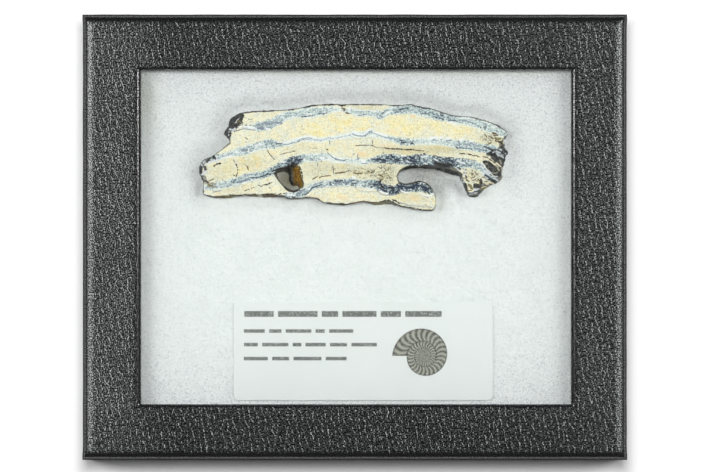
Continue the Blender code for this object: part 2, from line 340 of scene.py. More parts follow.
def model_lid():
    """Board shell: a box with no floor, a window cut in its top and rolled edges."""
    low, high, length, width = lid_sizes()
    height = high.z - low.z
    deselect_all()
    centre = (0.0, 0.0, (low.z + high.z) / 2)
    bpy.ops.mesh.primitive_cube_add(size=1.0, location=centre, scale=(length, width, height))
    lid = new_piece("lid_wrap")
    apply_transform()

    bpy.ops.object.mode_set(mode="EDIT")
    edit_select(lid, "FACE", lambda face: face.normal.z < -0.9)
    bpy.ops.mesh.delete(type="FACE")
    edit_select(lid, "FACE", lambda face: face.normal.z > 0.9)
    border = (width - WINDOW[1]) / 2
    bpy.ops.mesh.inset(thickness=border, depth=0.0)
    narrowing = WINDOW[0] / (length - 2 * border)
    bpy.ops.transform.resize(value=(narrowing, 1.0, 1.0))
    bpy.ops.mesh.delete(type="FACE")
    bpy.ops.object.mode_set(mode="OBJECT")
    apply_modifier(lid, "SOLIDIFY", thickness=LID_BOARD, offset=-1.0, use_even_offset=True)

    bpy.ops.object.mode_set(mode="EDIT")
    edit_select(lid, "EDGE", lambda edge: on_rim(edge, length / 2, width / 2, high.z))
    bpy.ops.mesh.bevel(offset=BORDER_ROLL, segments=BORDER_ROLL_STEPS, profile=0.5)
    edit_select(lid, "EDGE", lambda edge: on_rim(edge, WINDOW[0] / 2, WINDOW[1] / 2, high.z))
    bpy.ops.mesh.bevel(offset=WINDOW_ROLL, segments=WINDOW_ROLL_STEPS, profile=0.5)
    cut_outer_edges(lid, length, width, high.z)
    bpy.ops.object.mode_set(mode="OBJECT")

    shape_lid(lid, length, width, low.z, high.z)
    unfold_wrap(lid, length, width, high.z)
    settle(lid, 50)
    return lid


def cut_outer_edges(lid, length, width, top):
    """Divide the outside of the lid into cells small enough to carry the board's unevenness."""
    def outside(edge):
        middle = (edge.verts[0].co + edge.verts[1].co) / 2
        at_wall = abs(middle.x) > length / 2 - BORDER_ROLL or abs(middle.y) > width / 2 - BORDER_ROLL
        inner_wall = abs(middle.x) < length / 2 - 0.9 * LID_BOARD
        inner_wall = inner_wall and abs(middle.y) < width / 2 - 0.9 * LID_BOARD
        return middle.z > top - WINDOW_ROLL or (at_wall and not inner_wall)

    def along(edge, axis):
        step = edge.verts[1].co - edge.verts[0].co
        return step.length > 3 * WRAP_CELL and abs(step[axis]) > 0.95 * step.length

    def slanted(edge):
        step = edge.verts[1].co - edge.verts[0].co
        return step.length > 3 * WRAP_CELL and max(abs(c) for c in step) < 0.9 * step.length

    for axis, distance in enumerate((length, width, top)):
        edit_select(lid, "EDGE", lambda edge: outside(edge) and along(edge, axis))
        bpy.ops.mesh.subdivide(number_cuts=round(distance / WRAP_CELL))
    edit_select(lid, "EDGE", lambda edge: outside(edge) and slanted(edge))
    bpy.ops.mesh.subdivide(number_cuts=round((width - WINDOW[1]) / 2 / WRAP_CELL))


def shape_lid(lid, length, width, foot, top):
    """Push out the pinched corners, and let board and paper run slightly uneven."""
    points = points_of(lid)
    x, y, z = points.T.copy()
    from_corner_x = length / 2 - np.abs(x)
    from_corner_y = width / 2 - np.abs(y)
    rolled = np.clip(1 - np.minimum(from_corner_x, from_corner_y) / BORDER_ROLL, 0, 1)
    pinch = EAR * np.exp(-((from_corner_y / EAR_REACH) ** 2)) * rolled
    uneven = wobble(points, 1.0, BOARD_WAVE, 3)
    above_foot = np.clip((z - (foot + FOOT_MARGIN)) / FOOT_BLEND, 0, 1)
    points[:, 2] -= BOARD_SAG * (0.5 + 0.5 * uneven) * (z > top - TOP_SKIN)
    slack = PAPER_SLACK * (1 + uneven) * rolled * above_foot
    points[:, 0] += np.sign(x) * (pinch - slack)
    from_shifted_side = np.abs(x - WINDOW[0] / 2)
    points[:, 0] += WINDOW_SHIFT * np.clip(1.5 - from_shifted_side / WINDOW_SHIFT_REACH, 0, 1)
    points[:, 1] -= np.sign(y) * slack
    box_low, box_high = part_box("case_lid")
    move_points(lid, np.clip(points, tuple(box_low), tuple(box_high)))


def unfold_wrap(lid, length, width, top):
    """Map the paper as if it were flat, so that its grain runs on over the rolls and walls."""
    points = points_of(lid)
    wrap = lid.data.uv_layers.new(name="wrap")
    for face in lid.data.polygons:
        lean_x = abs(face.normal.x) > abs(face.normal.y)
        for corner in face.loop_indices:
            x, y, z = points[lid.data.loops[corner].vertex_index]
            at_x = abs(x) > length / 2 - BORDER_ROLL and lean_x
            at_y = abs(y) > width / 2 - BORDER_ROLL and not lean_x
            fall = top - z
            u = x + math.copysign(fall, x) * at_x
            v = y + math.copysign(fall, y) * at_y
            wrap.data[corner].uv = (u / MM, v / MM)


def leatherette():
    """Black paper embossed like leather: fine pebbles and short creases in wandering rows, their glints
    painted in as lighter colour.
    """
    finish = Finish("leatherette", Specular_IOR_Level=0.0, Coat_Roughness=0.2, Coat_IOR=2.2)
    place = finish.millimetres()
    x, y, z = finish.axis(place, "X"), finish.axis(place, "Y"), finish.axis(place, "Z")
    _, _, length, width = lid_sizes()

    # Where the paper is pulled taut, and so dark and glossy: the window's lip and the outer roll
    gap_x = finish.larger(0.0 - x, x - WINDOW_SHIFT / MM) - WINDOW[0] / 2 / MM
    gap_y = abs(y) - WINDOW[1] / 2 / MM
    gap = finish.larger(gap_x, gap_y)
    beside = finish.fade(gap_x - gap_y, -0.2, 0.2)
    lip = finish.fade(gap * (1.4 - beside * 0.4), 1.6, 0.5)
    from_side = length / 2 / MM - abs(x)
    from_end = width / 2 / MM - abs(y)
    turned = finish.larger(finish.fade(from_side, 1.9, 0.9), finish.fade(from_end, 2.8, 1.5))
    above_walls = finish.fade(z, *WALL_TURN)
    upward = finish.fade(z, *ROLL_TURN)
    taut = finish.larger(lip, turned * above_walls)

    # The grain itself, drawn on the unfolded paper
    flat = finish.node("UVMap", {"uv_map": "wrap"})
    across, along = finish.axis(flat, "X"), finish.axis(flat, "Y")
    wander = finish.noise(flat, 0.35, 1.0, 0.5) - 0.5
    row = finish.math("PINGPONG", across + along * 0.22 + wander * 2.2, 0.8)
    branch = finish.math("PINGPONG", across + along * 0.1 - wander * 2.0, 0.55)
    pebble = finish.noise(finish.stretch(flat, (1.25, 0.85, 1.0)), 3.1, 0.0, 0.6)
    coarse = finish.noise(finish.stretch(flat, (1.0, 0.6, 1.0)), 1.5, 1.0, 0.5)
    broken = finish.fade(finish.noise(flat, 0.8, 1.0, 0.5), 0.38, 0.52)
    grain = finish.fade(pebble, 0.33, 0.68)
    crease = finish.fade(row, 0.17, 0.0) * broken * 0.56
    crease = crease + finish.fade(branch, 0.16, 0.0) * finish.fade(coarse, 0.47, 0.57) * 0.34
    pits = finish.fade(coarse, 0.5, 0.32)

    # Rubbed patches from place to place, painted light towards the side ends, painted shade on the near
    # side, a painted highlight on the side rolls and painted groove shade
    patches = finish.noise(flat, 0.08, 3.0, 0.6)
    # Painted light: the paper is lighter towards the left and right ends
    painted_side_light = finish.fade(abs(x), 46.0, 62.0)
    # Painted shade: the paper is darker on the near side
    painted_near_shade = finish.fade(y, -42.0, -48.0)
    worn = 0.85 + 0.3 * patches
    light = 0.88 + painted_side_light * 0.08 - painted_near_shade * 0.1
    # Painted highlight along the left and right rolls, strongest on the pebbles
    painted_roll_highlight = finish.fade(from_side, 3.5, 1.9) * finish.fade(from_end, 1.0, 3.5) * above_walls
    # Painted shade of a groove beside the window's left and right sides; the groove has no relief
    painted_groove_shade = finish.fade(abs(gap - 1.5), 0.45, 0.1) * beside

    # Painted glints: the lighter pebbles and bright creases stand for the side lamps' glints on black paper
    tone = (0.03 + grain * 0.6 - pits * 0.1) * worn * light
    # Painted light lifts the paper further at the left end
    tone = tone + 0.03 + painted_side_light * finish.fade(x, 20.0, -50.0) * 0.06 + painted_roll_highlight * (0.1 + 0.22 * grain)
    tone = (tone + crease * (0.25 + 0.9 * grain)) * (1 - painted_groove_shade * 0.2)
    colour = finish.ramp(tone, (
        (0.0, srgb(4, 5, 5)), (0.3, srgb(38, 41, 40)),
        (0.6, srgb(112, 116, 115)), (1.0, srgb(222, 227, 226)),
    ))
    height = crease * 0.6 + coarse * 0.5
    finish.set(
        Base_Color=finish.mix(taut * (0.88 + upward * 0.12), colour, srgb(12, 12, 13)),
        Roughness=0.6,
        Coat_Weight=(0.1 + taut * 1.6 * grain) * upward,
        Normal=finish.bump(height * (1 - taut * 0.8), 0.15 * MM, 1.0),
    )
    return finish.material


# ---------------------------------------------------------------- tray and glass


def wrap_paper():
    """Plain black wrapping paper, matt, with faint fibres and rubbed patches."""
    finish = Finish("wrap_paper", Specular_IOR_Level=0.35)
    place = finish.millimetres()
    fibres = finish.noise(finish.stretch(finish.warp(place, 2.0, 0.4), (0.5, 2.4, 1.0)), 1.6, 4.0, 0.6)
    rubbed = finish.fade(finish.noise(place, 0.12, 4.0, 0.65), 0.52, 0.72)
    base = finish.mix(fibres, srgb(34, 34, 36), srgb(52, 52, 54))
    finish.set(
        Base_Color=finish.mix(rubbed * 0.35, base, srgb(86, 86, 86)),
        Roughness=0.7 + fibres * 0.2,
        Normal=finish.bump(fibres, 0.03 * MM, 0.7),
    )
    return finish.material


def clear_glass():
    """Clear window glass with the faint green of its thickness."""
    tint = (0.985, 0.995, 0.99, 1.0)
    return Finish("glass", Roughness=0.0, IOR=1.5, Transmission_Weight=1.0, Base_Color=tint).material


def dress_carried_nodes(frame):
    """Give the tray and the pane their finish; both keep their own solid."""
    for name, material in (("case_tray", wrap_paper()), ("glass_pane", clear_glass())):
        materials = frame["nodes"][name].data.materials
        materials.clear()
        materials.append(material)
    frame["nodes"]["glass_pane"].visible_shadow = False


# ---------------------------------------------------------------- batting

PAD_CELL = 0.5 * MM

# Rounded edge of the pad: its width, how far it falls, and the power of its curve
SHOULDER = 9.0 * MM
SHOULDER_DROP = 3.2 * MM
SHOULDER_CURVE = 2.5

# Nest of the slice: dip and reach beside it; under it, how far inside its outline the skin
# starts to drop, over which distance, and how far below the slice it ends
NEST_DIP = 2.2 * MM
NEST_REACH = 3.0 * MM
NEST_INSET = 0.6 * MM
NEST_BLEND = 0.5 * MM
NEST_GAP = 0.1 * MM

# Unevenness of the skin: height, wavelength, octaves and offset of the noise
PAD_WAVES = ((0.22 * MM, 7 * MM, 2, (0.0, 0.0, 0.0)), (0.10 * MM, 1.6 * MM, 3, (7.1, 3.3, 0.0)))

# Loose fibres; radius, lift above the pad and length are ranges in millimetres
STRAND_COUNT = 3000
STRAND_SEED = 11
STRAND_STEPS = 7
STRAND_SIDES = 3
STRAND_RADIUS = (0.018, 0.032)
STRAND_LIFT = (0.0, 0.25)
STRAND_LENGTH = (4, 12)
STRAND_MARGIN = 6 * MM
STRAND_CURL = 0.5
STRAND_SHAKE = 0.25
STRAND_CLEARANCE = (0.3 * MM, 0.1 * MM)  # above the slice's underside, below the glass

# Painted shade on the fibre at the window's left, right, near and far sides: its strength, and its reach
PAD_SHADE = ((0.08, 14.0), (0.12, 14.0), (0.26, 10.0), (0.26, 16.0))

# Painted shade on the pad in the slice's bay and hole and round its ends, in millimetres: centre,
# two radii, strength
PAD_PAINTED_SHADE = (
    (16.8, 16.0, 5.0, 2.4, 0.46), (24.0, 13.5, 5.0, 3.2, 0.2), (-18.7, 15.2, 2.6, 2.4, 0.16),
    (-41.0, 16.0, 3.0, 7.0, 0.12), (41.0, 19.0, 3.0, 8.0, 0.16), (-34.0, 27.0, 4.0, 4.0, 0.08),
)

# Brownish tint on the pad, in the slice's hole and bay and near the window's far side, in millimetres:
# centre, two radii, strength
PAD_BROWN_TINT = (
    (-17.6, 14.6, 3.4, 3.2, 1.0), (19.0, 16.0, 6.0, 2.6, 0.35), (-54.0, 36.0, 3.0, 9.0, 0.3),
    (30.0, 44.0, 30.0, 2.5, 0.3), (-20.0, 44.0, 20.0, 2.0, 0.3),
)

# Soft hollows in the pad in millimetres: centre, two radii, depth
PAD_HOLLOWS = ((19.5, 15.5, 8.0, 3.6, 4.4), (-17.0, 14.6, 3.2, 3.0, 5.0), (-36.5, 27.0, 6.0, 5.5, 1.0))


def tooth_tree(frame):
    """Search tree of the slice's CAD solid."""
    bm = bmesh.new()
    bm.from_mesh(frame["nodes"]["tooth_slice"].data)
    bmesh.ops.remove_doubles(bm, verts=bm.verts, dist=1e-6)
    tree = BVHTree.FromBMesh(bm)
    bm.free()
    return tree


def beside_tooth(tree, points, level):
    """How far each x, y place is outside the slice; inside it the distance is negative."""
    distances = np.empty(len(points))
    sky = 1.0
    for index, (x, y, _) in enumerate(points):
        nearest = tree.find_nearest(Vector((x, y, level)))
        above = tree.ray_cast(Vector((x, y, sky)), Vector((0, 0, -1)))
        distances[index] = -nearest[3] if above[0] is not None else nearest[3]
    return distances


def pad_height(points, distances, top, half_x, half_y, nest):
    """Height of the pad's skin: crowned, low at its walls and dished round the slice."""
    x, y = points[:, 0], points[:, 1]
    inward = np.clip(np.minimum(half_x - np.abs(x), half_y - np.abs(y)) / SHOULDER, 0, 1)
    height = top - SHOULDER_DROP * (1 - inward) ** SHOULDER_CURVE
    outside = np.maximum(distances, 0)
    height -= NEST_DIP * np.exp(-((outside / NEST_REACH) ** 2))
    for cx, cy, rx, ry, depth in PAD_HOLLOWS:
        reach = ((x / MM - cx) / rx) ** 2 + ((y / MM - cy) / ry) ** 2
        height -= depth * MM * np.exp(-reach)
    flat = np.stack([x, y, np.zeros_like(x)], 1)
    for wave in PAD_WAVES:
        height += wobble(flat, *wave)
    under = np.clip((-distances - NEST_INSET) / NEST_BLEND, 0, 1)
    return height * (1 - under) + nest * under


def pad_shade(x, y):
    """How much painted shade the fibre gets at each place, most of all in the window's corners."""
    gaps = (WINDOW[0] / 2 + x, WINDOW[0] / 2 - x, WINDOW[1] / 2 + y, WINDOW[1] / 2 - y)
    clean = np.ones_like(x)
    for gap, (share, reach) in zip(gaps, PAD_SHADE):
        clean *= 1 - share * np.exp(-np.maximum(gap, 0) / (reach * MM))
    return 1 - clean * (1 - blobs(x / MM, y / MM, PAD_PAINTED_SHADE))


def model_batting(tree):
    """Pad of fibre batting: a fine skin over a plain body, pressed round the slice."""
    low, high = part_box("cotton_batting")
    tooth_low, tooth_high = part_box("tooth_slice")
    half_x, half_y = (high.x - low.x) / 2, (high.y - low.y) / 2
    deselect_all()
    columns, rows = round(2 * half_x / PAD_CELL), round(2 * half_y / PAD_CELL)
    bpy.ops.mesh.primitive_grid_add(
        x_subdivisions=columns, y_subdivisions=rows, size=2.0, location=(0.0, 0.0, high.z)
    )
    pad = new_piece("batting_pad")
    bpy.ops.transform.resize(value=(half_x, half_y, 1.0), center_override=(0.0, 0.0, high.z))
    apply_transform()
    bpy.ops.object.mode_set(mode="EDIT")
    edit_select(pad, "EDGE", lambda edge: edge.is_boundary)
    bpy.ops.mesh.extrude_region_move(TRANSFORM_OT_translate={"value": (0.0, 0.0, low.z - high.z)})
    bpy.ops.mesh.edge_face_add()
    bpy.ops.mesh.select_all(action="SELECT")
    bpy.ops.mesh.normals_make_consistent(inside=False)
    bpy.ops.object.mode_set(mode="OBJECT")

    points = points_of(pad)
    skin = points[:, 2] > (low.z + high.z) / 2
    distances = beside_tooth(tree, points[skin], (tooth_low.z + tooth_high.z) / 2)
    nest = tooth_low.z - NEST_GAP
    points[skin, 2] = pad_height(points[skin], distances, high.z, half_x, half_y, nest)
    move_points(pad, points)
    x, y = points[:, 0], points[:, 1]
    store(pad, "shade", pad_shade(x, y))
    store(pad, "brown_tint", blobs(x / MM, y / MM, PAD_BROWN_TINT))
    settle(pad, 60)
    return pad


def batting():
    """White polyester fibre: bright, matt, faintly cool, with a mottle of crossing fibres."""
    finish = Finish("batting", Roughness=0.95, Specular_IOR_Level=0.2)
    place = finish.millimetres()
    one_way = finish.noise(finish.stretch(finish.warp(place, 1.2, 0.5), (3.0, 0.5, 1.0)), 1.1, 3.0, 0.6)
    other_way = finish.noise(finish.stretch(finish.warp(place, 1.4, 0.4), (0.5, 2.8, 1.0)), 1.1, 3.0, 0.6)
    tufts = finish.noise(place, 0.9, 4.0, 0.6)
    fleck = finish.noise(place, 1.9, 2.0, 0.7)
    patch = finish.noise(place, 0.45, 3.0, 0.6)
    shade = finish.attribute("shade")
    thin = finish.fade(tufts, 0.5, 0.75)
    colour = finish.mix(thin * 0.5, srgb(246, 251, 249), srgb(229, 235, 234))
    # Painted shade: greyer towards the window's edges and corners, in the slice's bay and hole and round
    # its ends
    colour = finish.mix(shade, colour, srgb(158, 162, 168))
    flecked = shade * 2.2 + patch * 0.5 - 0.15
    colour = finish.mix(finish.fade(fleck, 0.5, 0.3) * flecked, colour, srgb(170, 175, 184))
    colour = finish.mix(finish.fade(fleck, 0.52, 0.7) * flecked, colour, srgb(252, 250, 246))
    # A brownish tint in the slice's hole and bay and near the window's far side
    colour = finish.mix(finish.attribute("brown_tint") * 0.8, colour, srgb(178, 172, 140))
    height = one_way * 0.5 + other_way * 0.5 + tufts * 0.6
    finish.set(Base_Color=colour, Normal=finish.bump(height, 0.35 * MM, 0.8))
    return finish.material


def strand_path(rng, x, y, length):
    """A gently curling path for one fibre, seen from above."""
    heading = rng.uniform(0, 2 * math.pi)
    curl = rng.uniform(-STRAND_CURL, STRAND_CURL)
    path = []
    for _ in range(STRAND_STEPS + 1):
        path.append(Vector((x, y, 0)))
        x += math.cos(heading) * length / STRAND_STEPS
        y += math.sin(heading) * length / STRAND_STEPS
        heading += curl + rng.uniform(-STRAND_SHAKE, STRAND_SHAKE)
    return path


def lay_path(path, tree, lift, floor, ceiling):
    """Drop a path on the pad; None where it leaves the pad or runs under the slice."""
    laid = []
    for place in path:
        hit = tree.ray_cast(place + Vector((0, 0, 1)), Vector((0, 0, -1)))[0]
        if hit is None or hit.z < floor:
            return None
        laid.append(Vector((place.x, place.y, min(hit.z + lift, ceiling))))
    return laid


def add_tube(verts, faces, path, radius):
    """Add a thin closed tube round a path to the lists of a mesh's corners and faces."""
    start = len(verts)
    up = Vector((0, 0, 1))
    for step, place in enumerate(path):
        ahead = path[min(step + 1, STRAND_STEPS)] - path[max(step - 1, 0)]
        left = up.cross(ahead).normalized()
        for side in range(STRAND_SIDES):
            turn = 2 * math.pi * side / STRAND_SIDES
            verts.append(place + radius * (math.cos(turn) * left + math.sin(turn) * up))
    for step in range(STRAND_STEPS):
        ring = start + step * STRAND_SIDES
        for side in range(STRAND_SIDES):
            a, b = ring + side, ring + (side + 1) % STRAND_SIDES
            faces.append((a, b, b + STRAND_SIDES, a + STRAND_SIDES))
    faces.append(tuple(start + side for side in reversed(range(STRAND_SIDES))))
    faces.append(tuple(start + STRAND_STEPS * STRAND_SIDES + side for side in range(STRAND_SIDES)))


def model_strands(pad):
    """Loose fibres that lie on the pad, as thin three-sided tubes in one mesh."""
    rng = random.Random(STRAND_SEED)
    tree = BVHTree.FromObject(pad, bpy.context.evaluated_depsgraph_get())
    low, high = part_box("cotton_batting")
    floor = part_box("tooth_slice")[0].z + STRAND_CLEARANCE[0]
    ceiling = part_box("glass_pane")[0].z - STRAND_CLEARANCE[1]
    verts, faces = [], []
    for _ in range(STRAND_COUNT):
        x = rng.uniform(low.x + STRAND_MARGIN, high.x - STRAND_MARGIN)
        y = rng.uniform(low.y + STRAND_MARGIN, high.y - STRAND_MARGIN)
        radius = rng.uniform(*STRAND_RADIUS) * MM
        lift = rng.uniform(*STRAND_LIFT) * MM
        path = strand_path(rng, x, y, rng.uniform(*STRAND_LENGTH) * MM)
        path = lay_path(path, tree, lift, floor, ceiling)
        if path is not None:
            add_tube(verts, faces, path, radius)
    mesh = bpy.data.meshes.new("batting_strands")
    mesh.from_pydata(verts, [], faces)
    strands = bpy.data.objects.new("batting_strands", mesh)
    bpy.context.scene.collection.objects.link(strands)
    return strands


# ---------------------------------------------------------------- tooth

TOOTH_CELL = 0.32 * MM
BACK_SHARE = 0.15  # of the faces kept on the flat underside

# Unevenness: height in millimetres, then wavelength, octaves and offset of the noise
SIDE_LUMPS = (0.20, (3.0 * MM, 1.4 * MM, 2.0 * MM), 3)
SIDE_GRAIN = (0.09, 0.8 * MM, 2, (5, 5, 5))
BROKEN_GRAIN = (0.22, 1.1 * MM, 3, (1, 8, 3))

# Pores: their noise, the value above which they are cut, and millimetres of depth for each 1 of it
PORE_GRAIN = (1.0, 0.6 * MM, 2, (2, 9, 4))
PORE_START = 0.10
PORE_DEPTH = 0.5

# How deep marks are sunk in the sawn face and how far enamel stands proud of it, in millimetres
MARK_DEPTHS = {"ink": 0.10, "brown": 0.06, "charcoal": 0.12}
ENAMEL_RISE = 0.03
FACE_ROOM = 0.04 * MM  # above the solid's own face

# Height below the sawn face that still counts as its edge, and how far the edge's darkening reaches
RIM_HEIGHT = 0.5 * MM
RIM_REACH = 0.3 * MM

# Assumed distance in millimetres from the outermost ribbons to the next layer, and between
# layers where the streaks are mapped
LAYER_PITCH = 7.0

# Enamel ribbons seen in the sawn face, left to right, in millimetres: x, y of the middle line,
# half thickness, and stain from 0, pale, to 1, blue-black.
RIBBONS = (
    (
        (-28.7, 28.6, 0.21, 0.1), (-26.9, 28.3, 0.39, 0.1), (-25.4, 28.5, 1.11, 0.4),
        (-23.6, 28.6, 1.29, 0.5), (-21.5, 29.2, 1.29, 0.5), (-19.5, 30.3, 1.41, 0.45),
        (-17.4, 31.3, 1.16, 0.35), (-15.1, 31.7, 0.98, 0.4), (-12.8, 32.1, 1.29, 0.35),
        (-10.2, 32.2, 1.29, 0.35), (-7.7, 32.6, 1.16, 0.4), (-5.6, 33.0, 0.77, 0.25),
        (-3.5, 32.8, 0.39, 0.2), (-1.5, 32.6, 0.77, 0.25), (0.3, 32.1, 0.9, 0.3),
        (2.9, 31.9, 0.77, 0.3), (5.2, 31.8, 0.9, 0.3), (7.0, 31.4, 1.16, 0.4),
        (9.0, 32.6, 1.03, 0.35), (11.4, 32.8, 1.16, 0.5), (13.9, 33.0, 1.16, 0.45),
        (16.2, 32.7, 1.16, 0.4), (18.6, 32.1, 1.23, 0.47), (21.1, 31.4, 1.23, 0.5),
        (23.7, 30.9, 1.16, 0.55), (26.3, 30.4, 1.08, 0.4), (29.1, 29.9, 1.23, 0.35),
        (31.9, 29.2, 1.23, 0.35), (34.5, 28.3, 1.29, 0.35), (36.8, 27.4, 1.29, 0.3),
        (39.4, 26.5, 0.9, 0.25),
    ),
    (
        (-38.8, 19.5, 0.64, 0.5), (-37.7, 19.8, 0.77, 0.4), (-35.9, 20.4, 0.9, 0.4),
        (-34.1, 20.9, 0.77, 0.25), (-32.1, 21.3, 0.82, 0.25), (-30.0, 22.0, 1.08, 0.4),
        (-28.0, 22.4, 1.29, 0.42), (-26.4, 22.9, 1.16, 0.35), (-24.6, 23.6, 1.16, 0.25),
        (-22.3, 24.0, 1.29, 0.5), (-20.5, 24.0, 1.08, 0.45), (-19.0, 23.8, 0.67, 0.35),
        (-16.9, 24.2, 0.62, 0.2), (-14.9, 25.0, 0.64, 0.3), (-12.8, 25.4, 0.57, 0.3),
        (-10.7, 25.1, 0.64, 0.2), (-8.7, 25.0, 0.67, 0.2), (-6.4, 25.4, 0.57, 0.2),
        (-4.1, 25.8, 0.51, 0.2), (-2.0, 26.1, 0.62, 0.15), (0.1, 26.6, 0.82, 0.15),
        (2.1, 26.4, 0.77, 0.2), (3.9, 26.9, 0.93, 0.35), (5.7, 26.3, 0.77, 0.2),
        (8.0, 25.8, 0.72, 0.25), (10.1, 25.2, 0.77, 0.4), (12.1, 24.7, 0.93, 0.6),
        (14.4, 24.5, 0.87, 0.5), (16.8, 24.7, 0.82, 0.3), (19.3, 24.7, 0.87, 0.25),
        (21.9, 24.6, 0.87, 0.25), (24.5, 24.3, 0.93, 0.3), (26.8, 23.8, 1.18, 0.38),
        (29.1, 23.7, 1.29, 0.36), (31.4, 23.1, 1.13, 0.42), (33.7, 22.7, 1.18, 0.5),
        (36.0, 22.4, 1.29, 0.5), (38.4, 21.5, 1.03, 0.5),
    ),
    (
        (-39.0, 12.6, 0.51, 0.4), (-37.2, 13.0, 0.82, 0.45), (-35.2, 13.3, 1.03, 0.4),
        (-32.9, 13.7, 1.08, 0.4), (-30.5, 14.3, 1.08, 0.5), (-28.2, 15.1, 1.16, 0.5),
        (-25.9, 15.6, 1.08, 0.48), (-23.9, 16.0, 0.93, 0.55), (-21.8, 16.8, 1.08, 0.6),
        (-20.0, 17.8, 1.16, 0.6), (-18.2, 18.7, 1.23, 0.7), (-16.4, 19.5, 1.16, 0.8),
        (-14.3, 20.0, 1.16, 0.75), (-12.3, 20.4, 1.03, 0.35), (-10.2, 20.5, 1.08, 0.35),
        (-7.9, 20.7, 0.93, 0.3), (-6.1, 20.4, 0.82, 0.15), (-4.3, 19.8, 0.72, 0.15),
        (-2.3, 19.7, 0.67, 0.2), (0.1, 19.7, 0.67, 0.25), (2.1, 19.3, 0.67, 0.2),
        (4.2, 19.8, 0.67, 0.4), (6.2, 20.1, 1.03, 0.75), (8.3, 20.2, 1.23, 0.74),
        (10.3, 20.2, 1.18, 0.74), (12.4, 19.8, 1.18, 0.7), (14.7, 19.8, 1.41, 0.85),
        (17.0, 19.8, 1.54, 0.8), (19.3, 19.6, 1.67, 0.6), (21.6, 19.2, 1.54, 0.9),
        (24.0, 19.2, 1.49, 0.95), (26.0, 19.1, 1.29, 0.75), (27.8, 19.1, 1.18, 0.55),
        (29.9, 18.9, 1.03, 0.5), (31.9, 18.4, 1.08, 0.5), (33.7, 16.8, 1.29, 0.5),
        (35.3, 15.0, 1.29, 0.6), (37.1, 13.7, 1.03, 0.6),
    ),
    (
        (-17.7, 10.6, 0.9, 0.5), (-15.4, 10.8, 0.87, 0.55), (-13.3, 11.5, 1.16, 0.5),
        (-11.8, 12.5, 1.03, 0.4), (-10.0, 13.3, 0.87, 0.45), (-7.9, 13.7, 0.87, 0.4),
        (-5.6, 13.9, 0.93, 0.6), (-3.3, 14.1, 1.03, 0.55), (-1.0, 14.2, 1.08, 0.5),
        (1.3, 13.9, 1.03, 0.45), (3.7, 13.7, 1.03, 0.6), (6.0, 13.4, 1.23, 0.85),
        (8.0, 12.3, 1.16, 0.85), (10.1, 12.1, 1.23, 0.85), (12.1, 12.8, 1.29, 0.9),
        (14.4, 12.9, 1.29, 0.85), (16.8, 13.0, 1.29, 0.9), (18.8, 12.4, 1.03, 0.85),
        (20.1, 11.4, 0.57, 0.6),
    ),
)


def ribbon_lines(x):
    """Middle line, half thickness and stain of every ribbon at each x, in millimetres."""
    lines = []
    for ribbon in RIBBONS:
        knots = np.array(ribbon)
        middle, half, stain = (np.interp(x, knots[:, 0], knots[:, column]) for column in (1, 2, 3))
        past_end = np.maximum(knots[0, 0] - x, x - knots[-1, 0])
        lines.append((middle, half - np.clip(past_end * 1.2, 0, 3), stain))
    return lines


def enamel_fields(x, y):
    """Depth inside the nearest ribbon (negative outside), its stain, and the layer reached."""
    depth = np.full_like(x, -9.0)
    stain = np.zeros_like(x)
    lines = ribbon_lines(x)
    for middle, half, tone in lines:
        inside = half - np.abs(y - middle)
        closer = inside > depth
        depth = np.where(closer, inside, depth)
        stain = np.where(closer, tone, stain)
    middles = [line[0] for line in lines]
    edges = [middles[0] + LAYER_PITCH] + middles + [middles[-1] - LAYER_PITCH]
    layer = np.zeros_like(x)
    for upper, lower in zip(edges, edges[1:]):
        layer += np.clip((upper - y) / np.maximum(upper - lower, 0.5), 0, 1)
    return depth, stain, layer
